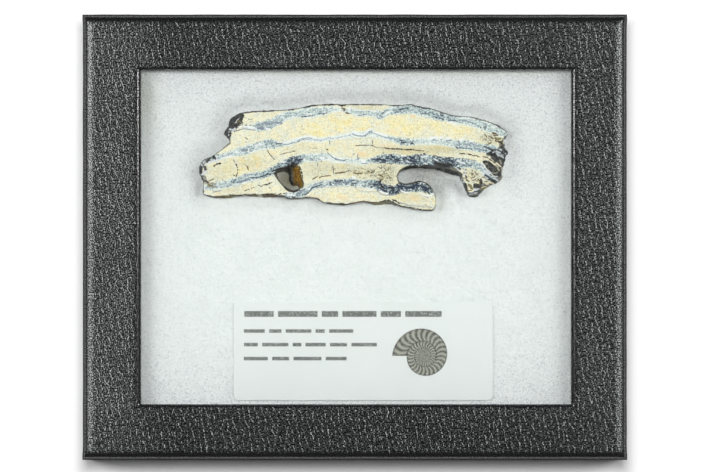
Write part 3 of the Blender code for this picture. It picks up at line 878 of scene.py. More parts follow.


# Marks on the sawn face in millimetres, left to right: half width, strength,
# then the x and y of each point of the mark's line
STROKES = {
    "yellow": (
        (0.8, 0.6, -29.4, 17.3, -27.9, 17.6), (0.7, 0.8, -29.3, 19.7, -28.7, 19.4),
        (0.8, 1, -26.3, 20.5, -25.2, 20.4), (0.5, 0.7, -21.6, 19.7, -20.9, 19.7),
        (0.8, 0.6, -16.2, 26.2, -14.9, 26.1), (0.8, 1, -12.5, 27.4, -10.7, 27, -8.7, 26.6),
        (0.8, 0.8, -11.6, 28.9, -10.2, 28.8), (0.8, 0.9, -5.7, 30.2, -4.2, 30),
        (0.5, 1, -5.1, 27.8, -3.5, 27.8), (0.6, 0.7, -3.3, 18.3, -2.7, 17.6),
        (0.8, 0.7, -2.3, 29.6, -1.3, 29.8), (0.6, 0.9, 0.8, 27.7, 2.6, 27.8),
        (0.8, 0.6, 2.6, 29.6, 3.1, 28.9), (0.6, 0.7, 4.8, 10.4, 5.3, 10.1), (1, 0.7, 8.6, 29.9, 11.4, 29.3),
        (0.5, 0.8, 10, 10.1, 11.4, 10.6), (0.8, 0.7, 12.5, 28, 14.1, 26.9),
        (0.9, 0.5, 15.2, 31.3, 15.9, 30), (0.5, 0.6, 19.4, 23.2, 24, 23.2),
        (0.9, 0.6, 20, 29.5, 22.1, 27.4), (0.4, 0.7, 20.5, 9.1, 20.8, 8.7),
        (0.8, 0.5, 25, 27.9, 27.5, 26.9),
    ),
    "tan": (
        (0.4, 0.6, -35.9, 11.2, -34.5, 11), (0.4, 0.5, -29.2, 17.8, -28.7, 17.6),
        (0.3, 0.5, -27.4, 12.8, -26.3, 13.2), (0.5, 0.8, -25.3, 18.3, -24.6, 18.9),
        (0.4, 0.6, -21.3, 21.6, -20.7, 21.3), (0.5, 0.5, -17.6, 28.9, -17.1, 28.4),
        (0.25, 0.6, -15.8, 13.8, -14.9, 13.6), (0.2, 0.5, -15.7, 32.6, -14.6, 32.8),
        (0.6, 0.5, -11, 10.9, -8, 10.1), (0.4, 0.4, -6.2, 27, -5.3, 27), (0.8, 0.6, -4.3, 10.4, -2.3, 10.1),
        (0.8, 0.8, 1.2, 21.3, 2.6, 21.3), (0.6, 0.5, 1.5, 10.6, 3.1, 10.4),
        (0.3, 0.35, 1.8, 33.6, 3.4, 33.3), (0.3, 0.4, 5.3, 33.7, 7, 33.3), (0.8, 0.5, 6.8, 23.7, 10, 23.4),
        (0.7, 0.6, 9.4, 27.6, 10.8, 26.7), (0.4, 0.6, 13.8, 10.4, 15.2, 10.6),
        (0.45, 0.8, 14.7, 31.3, 15.3, 31), (0.6, 0.7, 14.7, 9.8, 16.5, 9.8),
        (0.4, 0.5, 18.2, 28.6, 18.7, 28.6), (0.8, 0.5, 28.9, 27.9, 29.2, 26.7),
    ),
    "slate": (
        (0.17, 0.8, -36.6, 11.6, -35.1, 11.9, -34.5, 12), (0.15, 0.6, -36, 14.2, -35.3, 14.6, -35.2, 15.3),
        (0.3, 0.6, -34.5, 20.9, -32.9, 21.2, -31.5, 21.6), (0.25, 0.5, -34, 12.8, -32.3, 13),
        (0.25, 0.9, -30.4, 14.2, -29.4, 14.3, -28.5, 14.6, -27.5, 14.9),
        (0.2, 0.7, -29.4, 27.7, -28.7, 28, -27.4, 27.8, -25.7, 27.6), (0.5, 0.7, -29, 22.4, -27.8, 22.5),
        (0.22, 0.7, -28.2, 16.1, -26, 16.2, -24.9, 16.4), (0.35, 0.6, -27, 22.5, -26, 23.1),
        (0.4, 0.8, -25, 28.1, -23.7, 28.1), (0.6, 0.6, -24.8, 29, -23.3, 29.1, -21.3, 29.2),
        (0.5, 0.7, -20.6, 29.5, -19, 29.4),
        (0.13, 0.8, -18.6, 23.9, -17.2, 23.9, -16, 24.3, -15.1, 24.4, -14.3, 24.8, -13.2, 25.2, -12.3,
         25.6, -11.4, 25.6, -10.9, 25.3),
        (0.35, 0.7, -14.9, 11, -13.8, 11.6, -12.9, 12.3), (0.2, 0.8, -11.8, 20.4, -11, 20.1, -10.7, 19.7),
        (0.13, 0.7, -10.9, 25.3, -9.9, 25, -8.6, 25, -7.7, 25.2, -6.9, 25.6, -5.4, 25.4),
        (0.25, 0.7, -10.7, 13.5, -9.4, 13.9, -8, 14.3), (0.2, 0.6, -10.1, 12.8, -8, 13),
        (0.15, 0.7, -9.8, 20.4, -9.5, 20.4), (0.15, 0.7, -8.7, 21.6, -7.9, 21.5),
        (0.13, 1, -7, 21.7, -6.2, 21, -5.4, 20.4, -4.4, 20, -2.7, 19.7),
        (0.14, 0.6, -5.1, 25.2, -4.1, 25.6, -2.9, 26, -1, 26.3),
        (0.13, 0.8, -5.1, 20, -4.3, 19.9, -3, 19.8),
        (0.25, 0.8, -4.7, 13.9, -3, 14.2, -1.8, 14.2, -0.7, 14.6), (0.13, 0.7, -2.2, 20, -0.7, 19.8),
        (0.14, 1, -0.6, 26.7, 0.1, 26.3, 0.9, 26.1, 2, 26, 2.9, 26.3, 3.4, 26.8),
        (0.12, 0.6, -0.4, 25.7, 0.4, 25.4, 1.1, 25.3, 2, 25.6),
        (0.2, 0.5, -0.3, 32.5, 1.1, 32.4, 2.6, 32.5, 4.5, 32.2),
        (0.11, 0.7, -0.3, 13.1, 0.7, 12.3, 1.5, 11.9, 2.6, 11.7, 4.5, 11.7, 5.9, 11.7),
        (0.25, 0.7, 0.7, 20, 1.2, 20.4), (0.16, 0.9, 0.8, 31.4, 1.4, 31.3, 2, 31.5, 3.1, 31.7),
        (0.17, 0.6, 0.8, 21.5, 0.7, 21, 0.9, 20.4), (0.18, 0.8, 0.8, 21.3, 0.7, 20.6, 0.9, 20),
        (0.2, 0.8, 1.9, 19, 3, 19), (0.12, 0.8, 4.2, 27.6, 4.5, 27, 5.3, 26.7, 6.2, 26.3, 7, 26, 7.7, 25.7),
        (0.13, 0.9, 5.7, 31.5, 5.7, 31, 6.2, 30.6, 6.7, 30.6),
        (0.12, 0.9, 5.7, 12.8, 5.9, 11.9, 6.8, 11, 8.1, 10.8, 9.9, 10.8, 11.1, 11.2),
        (0.12, 0.9, 6.6, 31.4, 6.7, 31, 7.3, 31.1, 7.3, 30.7), (0.15, 0.8, 7.3, 21, 8.1, 20.9),
        (0.14, 0.9, 7.8, 25.6, 8.9, 25.6, 9.7, 25.4), (0.12, 0.8, 10.4, 32.4, 11.4, 32.4, 12.5, 32.1),
        (0.15, 0.7, 11.1, 25, 11.2, 24.9), (0.3, 0.6, 11.6, 8.8, 13, 8.6, 14.1, 8),
        (0.45, 0.5, 13.4, 8.2, 16.5, 8, 19.7, 7.7), (0.2, 0.5, 13.8, 32.6, 15.5, 32.5),
        (0.11, 0.8, 17, 11.3, 18.1, 10.5, 19, 10.2), (0.1, 0.7, 19.4, 33.2, 19.4, 31.3),
        (0.2, 0.8, 20.3, 25.1, 21.2, 24.8), (0.2, 0.7, 22.1, 25.1, 22.6, 25.3),
        (0.18, 0.8, 23.6, 24.8, 24.9, 25),
        (0.14, 0.9, 26.4, 29.9, 27.5, 30.2, 28.7, 30.1, 29.4, 29.7, 31, 29.2),
        (0.25, 0.9, 26.8, 24.8, 27, 23.7), (0.35, 0.7, 28.5, 23.9, 29.6, 23.7),
        (0.32, 0.9, 29.1, 11.5, 29.9, 11.3, 30.7, 11.5), (0.22, 0.8, 29.2, 24.8, 30.6, 23.9, 31.7, 23.6),
        (0.3, 0.7, 30.8, 23, 33.1, 22.3), (0.25, 1, 31.9, 11.1, 32.2, 11.7, 32.4, 12.1),
        (0.3, 0.5, 32.4, 18, 32.7, 17.7), (0.22, 1, 36.5, 15.3, 37.2, 15.4),
    ),
    "navy": (
        (0.15, 0.8, -36, 20.6, -35.6, 20.2), (0.15, 0.8, -31.5, 14.2, -30.7, 14.7),
        (0.2, 0.8, -26.7, 15.3, -25.3, 15.4, -23.9, 15.6, -23.4, 15.8), (0.2, 1, -23, 16, -22.2, 16.5),
        (0.15, 0.8, -21.9, 16.2, -21.2, 16.4), (0.16, 1, -20.3, 24, -19.5, 24.1, -18.8, 24.1),
        (0.12, 0.9, -18.9, 18.9, -18.8, 18.8), (0.15, 0.9, -17.1, 19.7, -16.8, 19.7),
        (0.3, 0.7, -16.5, 19.1, -15.1, 19.3), (0.13, 0.6, -16.2, 24.2, -15.3, 24.5),
        (0.3, 0.9, -15.4, 20, -14.3, 19.8, -13.6, 20.1), (0.15, 0.9, -14.4, 11.9, -13.5, 12.1),
        (0.15, 0.8, -13.9, 31.1, -12.8, 31.1, -11.7, 31.3, -10.9, 31.2),
        (0.15, 1, -12.9, 10.8, -12.1, 11.4, -11.4, 12.1, -11, 12.7, -10.2, 13, -9.2, 13.3, -8.4, 13.6),
        (0.14, 0.8, -9.1, 31.9, -8, 31.9, -7.3, 32), (0.15, 0.9, -2.8, 19.7, -2.3, 20),
        (0.2, 0.7, -1, 14.6, 0.1, 14.7), (0.2, 0.8, -0.6, 13.9, 0.4, 13.8), (0.12, 0.7, 3.5, 19.4, 3.7, 20),
        (0.15, 0.7, 3.7, 26.8, 3.9, 27.2), (0.17, 0.9, 4.2, 20.2, 5.1, 20, 5.9, 19.8),
        (0.25, 1, 4.9, 13.6, 5.7, 13.4), (0.35, 1, 5.9, 20.1, 6.8, 20, 7.9, 19.7),
        (0.15, 1, 6.3, 12.8, 7.3, 12.3, 7.9, 11.8), (0.15, 0.7, 6.6, 19.3, 8.1, 19.1),
        (0.25, 1, 6.7, 14.6, 6.6, 14.2), (0.14, 0.8, 7.1, 31.9, 8.1, 32.6, 8.6, 32.9),
        (0.2, 0.9, 8.1, 20.4, 9.4, 20.2), (0.3, 1, 9.3, 21.2, 9.7, 20.8, 10.1, 20.5),
        (0.2, 1, 9.7, 12, 10.1, 11.4, 9.4, 11.2), (0.3, 0.9, 10.4, 20.1, 11.4, 19.7),
        (0.35, 0.9, 11, 13.4, 11.8, 13, 12.7, 13.1), (0.15, 0.8, 11.1, 11.3, 11.8, 11.4),
        (0.16, 0.9, 11.4, 32.8, 12.2, 33, 13, 33.3, 13.8, 33.1), (0.16, 0.9, 11.8, 24.8, 12.5, 25),
        (0.18, 0.9, 11.9, 24.3, 12.7, 24.5, 13.3, 24.3), (0.2, 0.7, 12, 19.1, 13, 19.3),
        (0.25, 0.8, 12.5, 20.2, 12.7, 19.7),
        (0.38, 0.9, 12.9, 12.9, 14, 12.7, 15.6, 13.4, 17, 13.1, 18.3, 12.7, 19, 12.3),
        (0.15, 0.8, 14, 19.7, 14.2, 19.6), (0.4, 0.9, 14, 12.8, 15.3, 12.8),
        (0.35, 1, 14.3, 19.7, 15.4, 19.5), (0.17, 0.9, 14.4, 24.1, 15.1, 24.2),
        (0.35, 0.9, 14.4, 20.6, 15.2, 20.4), (0.17, 0.7, 14.5, 24.3, 15.2, 24.8),
        (0.2, 0.9, 16.1, 21.3, 16.5, 21), (0.15, 0.7, 17.3, 31.9, 18.6, 31.9, 19.3, 31.4),
        (0.2, 1, 17.8, 21.6, 18, 21.5), (0.2, 1, 17.8, 21.5, 18.1, 21.3),
        (0.25, 0.9, 18.3, 12.2, 19.2, 11.3), (0.15, 0.8, 20, 31.2, 21.2, 30.9),
        (0.15, 0.9, 20.1, 20.8, 20.8, 21, 22.1, 20.4), (0.15, 0.8, 20.3, 31.8, 20.8, 31.5),
        (0.15, 0.9, 21.9, 30.6, 22.9, 30.3), (0.17, 0.9, 22.1, 31.6, 22.6, 31.1),
        (0.15, 0.9, 22.9, 20.1, 24, 20.3, 25.4, 20.5), (0.16, 0.7, 24, 30.2, 25.4, 30, 26.4, 30),
        (0.25, 0.9, 24.4, 19.7, 25.5, 19.4), (0.2, 1, 26.1, 23.2, 26.6, 22.9),
        (0.14, 0.8, 26.8, 23, 29.1, 22.9, 29.9, 22.8, 30.5, 22.3), (0.12, 0.8, 27.7, 20.4, 27.8, 19.9),
        (0.2, 1, 30.8, 11.7, 31.3, 11.8, 31.9, 12.1), (0.35, 0.7, 33.4, 23.4, 34.3, 23, 36.6, 22.3),
        (0.26, 1, 33.6, 16, 34.2, 15.7, 34.7, 15.3, 35.2, 14.9), (0.2, 0.9, 34.3, 14.9, 34.8, 14.9),
        (0.15, 1, 37.1, 14.9, 37.3, 14.8),
    ),
    "white": (
        (0.2, 0.8, -39, 11.2, -37.7, 11), (0.12, 1, -39, 17.4, -38.9, 17),
        (0.3, 0.8, -38.9, 13.5, -38.8, 12.3), (0.12, 1, -38.8, 16.1, -38.7, 15.8),
        (0.25, 0.5, -33.4, 20.6, -31.8, 20.9), (0.33, 0.8, -31.6, 27.9, -32, 27.5, -31.3, 27.3),
        (0.25, 0.6, -30.9, 28.1, -29.4, 28.4, -27.4, 28.3, -25.7, 28.1),
        (0.15, 0.8, -30.8, 13.6, -28.7, 13.9, -27.4, 14.3), (0.35, 0.7, -30.7, 22, -29.8, 21.8),
        (0.2, 0.9, -30.5, 30.5, -29.7, 31), (0.13, 0.7, -29.4, 15.3, -27.4, 15.6, -26, 15.8),
        (0.14, 0.8, -27.4, 22.9, -27.3, 21.8), (0.15, 0.9, -26.7, 14.6, -26, 14.7),
        (0.3, 0.6, -25.7, 23.6, -23.4, 23.9), (0.4, 0.7, -22.8, 28, -21.9, 27.7),
        (0.3, 0.8, -19.5, 31.7, -18.7, 31.7), (0.25, 0.8, -19, 19.3, -17.9, 19.4),
        (0.22, 0.8, -18.4, 24.3, -16.5, 24.7, -14.6, 25.4, -12.9, 26, -11.3, 26.1, -10.1, 25.6),
        (0.25, 0.9, -17.3, 10.8, -16.5, 10.9, -15.4, 10.8), (0.18, 0.9, -16.1, 31.1, -15.7, 31),
        (0.12, 1, -13.2, 12.8, -13.2, 12.8), (0.18, 0.8, -13.1, 30.8, -12.1, 30.6, -11.4, 30.7),
        (0.2, 0.9, -13.1, 20.2, -12.9, 19.7), (0.2, 0.8, -12.7, 31.7, -11.4, 31.8),
        (0.2, 0.7, -12.7, 25, -11.4, 24.8, -9.4, 24.5), (0.3, 0.8, -12, 12.5, -11.7, 12.5),
        (0.25, 1, -8.8, 20.4, -8, 20.5), (0.2, 1, -6.9, 20.4, -6.6, 19.8), (0.2, 1, -5.7, 13.6, -5.4, 13.5),
        (0.35, 0.7, -1.4, 33.6, -1.4, 32.6),
        (0.2, 0.9, -0.4, 27, 0.7, 26.6, 2, 26.5, 3, 26.9, 3.7, 27.7, 4.1, 28),
        (0.25, 0.6, -0.3, 24.8, 1.1, 25), (0.3, 0.8, 0.1, 15.3, -0.6, 15.6),
        (0.12, 0.9, 0.9, 13.6, 2.6, 13.5), (0.3, 0.9, 1.8, 19.7, 2.6, 19.3),
        (0.3, 0.7, 3.1, 12.5, 4.8, 12.4), (0.22, 0.9, 4.8, 27.1, 5.9, 26.9, 7, 26.5, 8.1, 26.1),
        (0.2, 0.9, 6.6, 11.9, 7.7, 11.4, 8.6, 11.2), (0.2, 0.9, 7.7, 31.5, 8.2, 31.9, 9.2, 32.5),
        (0.2, 0.8, 11.8, 12.1, 12.7, 11.6, 14.4, 11.6), (0.3, 0.7, 12, 21, 13.3, 21),
        (0.2, 0.8, 12.9, 11.4, 14, 11.6), (0.2, 0.8, 13.4, 19.7, 14.1, 19.3),
        (0.18, 0.9, 14.3, 12.3, 14.5, 12.3), (0.14, 0.7, 16.5, 12.3, 16.9, 13.1),
        (0.25, 0.8, 16.9, 11.4, 18.1, 10.7, 19.2, 10.7, 19.9, 10.9), (0.3, 0.7, 17.2, 20.6, 18.8, 20.8),
        (0.2, 0.9, 18.1, 19, 18.7, 18.8), (0.3, 0.9, 19.6, 25.7, 21.5, 25.7),
        (0.2, 0.9, 20.6, 20.1, 21.4, 19.7), (0.17, 0.9, 21.7, 31.7, 21.9, 31.7),
        (0.25, 0.9, 22.1, 25.8, 22.6, 25.7), (0.15, 0.9, 23.1, 31.5, 23.6, 31.2),
        (0.25, 0.9, 23.7, 25.5, 24.7, 25.6), (0.25, 0.8, 24, 29.6, 25, 29.4, 26.3, 29.2),
        (0.2, 0.6, 25.4, 24.8, 26.4, 24.4), (0.3, 0.7, 26.4, 19.7, 28.2, 19),
        (0.35, 0.6, 27.1, 30.6, 29.6, 30.6), (0.28, 0.9, 27.1, 25, 27.8, 25.2),
        (0.28, 0.9, 29.6, 24.6, 30.5, 25), (0.25, 0.8, 35.3, 28.6, 36, 28.3),
    ),
    "charcoal": (
        (0.2, 1, -39.8, 18, -39.8, 17.4, -39.9, 16.5),
        (0.26, 1, -39.6, 18.2, -39.8, 17, -39.6, 15.9, -39.3, 15, -38.9, 14.2),
        (0.34, 1, -39, 18.2, -38.6, 18, -38.5, 17.5), (0.2, 1, -38.7, 14.8, -38.3, 14.3, -37.9, 14),
        (0.35, 1, -38.6, 20.1, -37.8, 20.7, -37, 21.2, -36.4, 20.9),
        (0.3, 1, -38, 19.5, -37.7, 20, -37.3, 20.4),
        (0.34, 1, -37.2, 20.7, -36.8, 21.2, -36.4, 20.6, -35.8, 20.3),
        (0.2, 1, -35.6, 18.9, -35.2, 18.9, -34.7, 19), (0.5, 1, -33.4, 26.8, -32.9, 25.9, -32.2, 26.5),
        (0.9, 1, -29.8, 31.8, -30.9, 31, -31.6, 29.9, -32.3, 28.8, -32.9, 27.6),
        (0.7, 1, -29.3, 31.2, -29.7, 29.8, -30.4, 29.1, -31.5, 28.1),
        (0.25, 0.6, 9.7, 9.7, 10.7, 9.3, 11.4, 8.7),
        (0.42, 1, 13.2, 17.7, 15, 18, 16.8, 18, 18.8, 18.1, 20.4, 18, 21.9, 17.6),
        (0.35, 1, 20.6, 17.6, 21.9, 17.4, 23, 17.2, 24.4, 17, 25.5, 16.7, 26.8, 16.1),
        (0.34, 1, 22.2, 17.5, 23.4, 17.3, 24.7, 16.8, 26, 16.1), (0.24, 1, 26.8, 17.8, 27.2, 17.5),
        (0.16, 0.8, 27.6, 16.4, 27.7, 16), (0.2, 0.9, 28.4, 17.3, 28.7, 17.2),
        (0.3, 1, 28.5, 13.8, 28.7, 13.1, 28.8, 12.3), (0.2, 0.9, 28.6, 15.8, 28.8, 15.3),
        (0.4, 1, 30.9, 13, 31.6, 12.8, 32.2, 12.9), (0.5, 1, 31.1, 13.4, 31.8, 13.3, 32.2, 13.1),
        (0.32, 1, 32.5, 14.8, 32.7, 14.1, 32.5, 13.5, 32.6, 13.1), (0.3, 0.9, 33.2, 20, 33.9, 19.5),
        (0.5, 1, 33.5, 19.3, 34.2, 19.2, 34.8, 18.9, 35.4, 18.3),
        (0.6, 1, 34.1, 18.5, 34.8, 17.9, 35.5, 17.2, 36.1, 16.7),
        (0.42, 1, 34.2, 21.4, 35.1, 21.4, 36, 21.3, 36.5, 20.8), (0.35, 1, 34.7, 21.7, 35.2, 21.8),
        (0.35, 1, 35.1, 20.2, 35.8, 19.8, 36.3, 19.5), (0.22, 1, 35.1, 22.5, 35.5, 22.3),
        (0.4, 1, 35.4, 14.8, 36, 14.4, 36.5, 14, 37, 13.6),
        (0.6, 1, 35.5, 18.3, 36.1, 17.5, 36.7, 16.7, 37.2, 16.2),
        (0.6, 1, 35.7, 20.8, 36.5, 20.4, 37.2, 19.9, 37.7, 19.2, 37.8, 18.6),
        (0.3, 1, 36.1, 21.6, 36.4, 21.3), (0.42, 1, 36.1, 16.2, 36.8, 16.1, 37.5, 15.9),
        (0.28, 1, 36.4, 18.1, 36.9, 17.3, 37.2, 16.5),
        (0.24, 1, 37.1, 24.8, 37.5, 24.4, 37.9, 23.7, 38.2, 23.2),
        (0.3, 1, 37.2, 17.1, 37.5, 16.4, 37.5, 15.7),
        (0.5, 1, 37.4, 20.6, 38.1, 20.1, 38.3, 19.3, 38.1, 18.7),
        (0.35, 1, 37.5, 24.5, 37.8, 23.2, 38.2, 22.4), (0.3, 1, 37.5, 17.9, 37.5, 17.2, 37.6, 16.5),
        (0.2, 1, 37.5, 22.3, 37.8, 22, 38.3, 21.6), (0.3, 1, 38.1, 22.9, 38.3, 22.4),
        (0.45, 1, 38.1, 21.2, 38.6, 20.4, 38.5, 19.8), (0.4, 1, 38.6, 22.3, 39.2, 21.8, 38.9, 21.1),
        (0.4, 1, 38.8, 22.5, 39.2, 22.1, 39.3, 21.6, 39, 21.1), (0.12, 1, 39, 25.2, 39.2, 25.1),
    ),
    "taupe": (
        (0.36, 1, -39, 15.8, -38.6, 15.5, -38.8, 15),
        (0.34, 0.6, -38.8, 14.1, -38, 13.8, -36.9, 13.8, -35.9, 13.8),
        (0.3, 0.9, -37.7, 13.2, -37, 13.1, -36.2, 13.1), (0.3, 0.5, -36.3, 13.3, -36.1, 12.7),
        (0.2, 0.6, -34.2, 15.1, -33.8, 14.4, -33.3, 14.3), (0.32, 0.7, 28.1, 16.6, 28.8, 16.5),
        (0.26, 0.8, 28.1, 15.2, 29, 14.6), (0.3, 0.6, 29.6, 12.9, 30.4, 12.4),
        (0.3, 0.7, 32.9, 15.4, 33.6, 15.4, 33.8, 15), (0.2, 0.9, 33.8, 19, 34.3, 18.9),
        (0.2, 0.8, 35.8, 16.5, 36.3, 16.5, 36.7, 16.7), (0.28, 1, 36.5, 18.3, 36.9, 17.8, 37.2, 17.2),
        (0.3, 1, 37.4, 23.9, 37.7, 23.7), (0.24, 0.9, 37.5, 19.8, 37.8, 19),
    ),
    "cream": (
        (0.2, 1, -31.7, 26.4, -30.9, 26.6), (0.14, 0.8, 28.4, 15.1, 28.6, 14.1),
        (0.2, 1, 32.4, 20.6, 32.9, 20.5), (0.3, 1, 32.5, 21.6, 33.4, 21.4),
        (0.26, 0.9, 32.9, 12.8, 33.5, 12.9, 34.1, 13), (0.2, 1, 33.1, 20, 33.8, 20),
        (0.22, 1, 33.5, 14.1, 33.9, 13.8, 34.5, 13.5),
        (0.1, 1, 34.2, 20.3, 34.7, 19.8, 35, 19.5, 35.3, 19.2, 36, 18.6, 36.5, 18.2),
        (0.24, 1, 34.2, 13.9, 34.8, 14.3, 35.2, 14, 35.8, 13.8),
        (0.12, 1, 34.7, 20.6, 35.2, 20.1, 35.6, 19.8), (0.12, 1, 35.7, 19.7, 36, 19.4),
        (0.18, 1, 36.3, 19.2, 36.7, 19, 37.2, 18.7), (0.2, 0.8, 36.8, 17.9, 37.1, 17.5),
        (0.18, 0.9, 37.2, 18.6, 37.7, 18.2), (0.14, 1, 38.3, 24.8, 38.4, 24.2),
    ),
    "olive": (
        (0.2, 1, -37.7, 13.5, -36.8, 13.3), (0.16, 1, -37.6, 14.5, -37.1, 14.7, -36.4, 15),
        (0.13, 0.7, -36.3, 18.7, -36.2, 18.2), (0.38, 1, -33.4, 10.4, -32.3, 10.4, -30.9, 10.3),
        (0.22, 0.8, -30.9, 29.6, -30.1, 29.8, -29.6, 29.9), (0.3, 0.9, -27.1, 10.5, -25.3, 10.6),
        (0.3, 1, -13.9, 14, -13.6, 13), (0.3, 0.8, 5.1, 8.3, 5.9, 8.6, 6.8, 8.7, 8.6, 8.7),
        (0.2, 0.8, 29, 14.6, 29.5, 14.3), (0.45, 0.8, 29.4, 13.5, 29.9, 13.1, 30.1, 12.6),
        (0.14, 0.8, 30.4, 14, 31.2, 14.4, 31.9, 14.9), (0.3, 0.8, 32.5, 12.4, 33.2, 12.5, 33.9, 12.7),
        (0.22, 0.9, 33.1, 20.8, 33.6, 20.6, 34.1, 20.6), (0.16, 0.8, 35.7, 19.5, 36.1, 19.2),
        (0.3, 0.9, 36.2, 25.5, 36.8, 25.2, 37.5, 25.4), (0.26, 0.8, 36.5, 24.7, 36.3, 24.9),
    ),
    # Painted glints: light grey specks on the dark skin at both ends
    "painted_glints": (
        (0.2, 0.9, -39.8, 18.9, -39.4, 18.5), (0.2, 1, -39.7, 16.1, -39.1, 16.2, -38.7, 16.2),
        (0.12, 1, -39.2, 15.4, -38.9, 15.1), (0.22, 1, -39.1, 17, -38.4, 16.9, -38.2, 16.5),
        (0.34, 1, -39, 19.3, -38.7, 19.4, -38.6, 18.8), (0.25, 0.8, -38.7, 12.5, -38, 12.3),
        (0.2, 1, -37.6, 19.4, -36.8, 19.6, -36.1, 19.9), (0.14, 1, -35.9, 19.5, -35.4, 19.3),
        (0.2, 1, -35.7, 20.7, -35.5, 20.1, -35.2, 19.7), (0.2, 0.7, -35.5, 13.4, -35, 13.1),
        (0.12, 0.9, -32.4, 27.3, -32.6, 26.2), (0.22, 1, -32.2, 27.8, -31.4, 27.7, -30.9, 28),
        (0.14, 0.8, -31.6, 27.6, -30.9, 28), (0.16, 0.8, -30.7, 29.5, -30.1, 30.5),
        (0.1, 1, -30.1, 28.1, -28.8, 28.4, -27.7, 28.3), (0.14, 1, 26.5, 17.6, 26.9, 17.3),
        (0.13, 0.9, 27.7, 15.3, 27.6, 14.9), (0.18, 0.9, 27.8, 14.4, 28.3, 14.1),
        (0.18, 0.9, 28.1, 16.1, 28.5, 16.4), (0.16, 0.9, 28.2, 17.1, 28.5, 17.2),
        (0.2, 1, 29.6, 11, 30.4, 11), (0.12, 0.8, 30.1, 14.9, 30.7, 15.1, 31.2, 15.2),
        (0.12, 0.8, 30.2, 14.1, 30.7, 14.2, 31.2, 14.4), (0.22, 1, 30.9, 12.1, 31.5, 12.3, 32.1, 12.5),
        (0.18, 1, 30.9, 11.2, 31.5, 11.5), (0.3, 0.8, 32.5, 18.3, 33.1, 17.9),
        (0.2, 0.8, 32.7, 16, 33.4, 16.1), (0.14, 1, 33, 19, 33.2, 18.7, 33.5, 18.4),
        (0.38, 1, 33.4, 17.1, 33.9, 16.8, 34.5, 16.6, 34.9, 16.5), (0.22, 1, 34.1, 16.3, 34.7, 16),
        (0.16, 1, 34.6, 22.1, 34.9, 22.3), (0.2, 1, 35.6, 21.9, 36, 22.1), (0.17, 1, 35.8, 15.2, 36.3, 15),
        (0.1, 0.8, 36.2, 15.7, 36.8, 15.6), (0.2, 0.9, 36.5, 22.2, 37, 21.9, 37.5, 21.8),
        (0.17, 1, 36.5, 14.8, 37, 14.6), (0.16, 1, 36.6, 21.5, 36.8, 21.4), (0.17, 1, 37, 21.2, 37.5, 21),
        (0.12, 1, 37.4, 22.6, 37.8, 22.6), (0.14, 1, 37.4, 22.6, 37.7, 22.5),
        (0.13, 1, 37.8, 21.2, 38.3, 21.2), (0.18, 1, 37.9, 20.9, 38.2, 20.7, 38.4, 20.5),
        (0.2, 1, 38.5, 25.1, 38.8, 24.5, 38.9, 23.9), (0.25, 1, 38.8, 26.4, 39.2, 26.7),
        (0.1, 1, 38.9, 25.2, 39, 24.9), (0.12, 1, 38.9, 21.6, 39, 21.6), (0.14, 1, 38.9, 21.6, 39, 21.5),
    ),
    "amber": (
        (0.55, 1, -15.7, 17.6, -15.4, 16.5, -15.3, 15.3), (0.35, 0.8, -15.4, 13.6, -14.3, 12.8),
        (0.7, 1, -15.3, 17.8, -15.1, 16.1, -15.1, 14.5),
        (0.5, 1, -14.6, 17.6, -14.3, 16, -14.2, 14.7, -14, 13.6), (0.35, 1, -14.2, 16.6, -13.9, 14.8),
    ),
    "brown": (
        (0.12, 0.8, -37.6, 13.4, -36.8, 13.3), (0.2, 0.9, -36.3, 10.4, -34.9, 10.2, -33.7, 10.4),
        (0.2, 0.6, -30.3, 29.8, -29.7, 29.7), (0.12, 0.6, -29.2, 13, -28.3, 13.4, -27.5, 13.8),
        (0.2, 0.6, -28.3, 18.7, -27.6, 18.2, -27.5, 17.3), (0.4, 1, -23.5, 10.6, -21.9, 10.7, -20.5, 10.6),
        (0.42, 1, -23.1, 10.6, -21.7, 10.8, -20.5, 10.6), (0.15, 0.5, -23, 18.7, -23, 18.6),
        (0.13, 0.9, -22.5, 22.3, -21.9, 21.3, -21.1, 20.5, -20.7, 20),
        (0.13, 0.8, -19.4, 21.3, -18.6, 21.5, -17.6, 21.7, -16.5, 21.9, -15.4, 22.2),
        (0.15, 0.4, -14.3, 21.8, -13.8, 21.9), (0.12, 0.5, -13.6, 29.2, -13.6, 28.7, -13.4, 27.6),
        (0.12, 0.7, -11.2, 10.2, -9.4, 9.9), (0.11, 0.5, -11, 22.8, -10.1, 22.9, -8.6, 23),
        (0.13, 1, -10.9, 14.9, -10.1, 15.4, -9.6, 15.7), (0.12, 0.7, -9.6, 19, -9.6, 18.2),
        (0.13, 1, -9.1, 15.3, -8.6, 15.6, -7.3, 15.8, -6.2, 15.9), (0.17, 0.9, -8.6, 19.6, -8.5, 19.5),
        (0.12, 0.6, -7.3, 20.6, -7.2, 20.2), (0.14, 0.9, -5.7, 18.3, -5.5, 17.3, -5.5, 16.4),
        (0.12, 0.9, -5.1, 16.4, -4.2, 16.5, -2.7, 16.7),
        (0.13, 0.9, -5.1, 16.5, -3.6, 16.7, -2.2, 16.9, -1.1, 17.2),
        (0.3, 0.7, -3.3, 33.2, -2.5, 33, -2.9, 32.6),
        (0.16, 0.9, -1.3, 8.8, 0.1, 8.8, 1.1, 9, 2.3, 9.3, 3.1, 9.1, 4.2, 9, 5.9, 8.9),
        (0.14, 1, -0.3, 16.6, 0.4, 16.4, 1.1, 16.5, 2, 16.5),
        (0.15, 0.8, 0.4, 23.6, 1.8, 23.7, 2.6, 23.7, 3.4, 23.7, 4.5, 23.7, 5.1, 23.4, 5.5, 23.1),
        (0.12, 0.5, 2, 23.3, 2, 22.9), (0.12, 0.9, 4.6, 25, 4.6, 24.4, 4.6, 23.7),
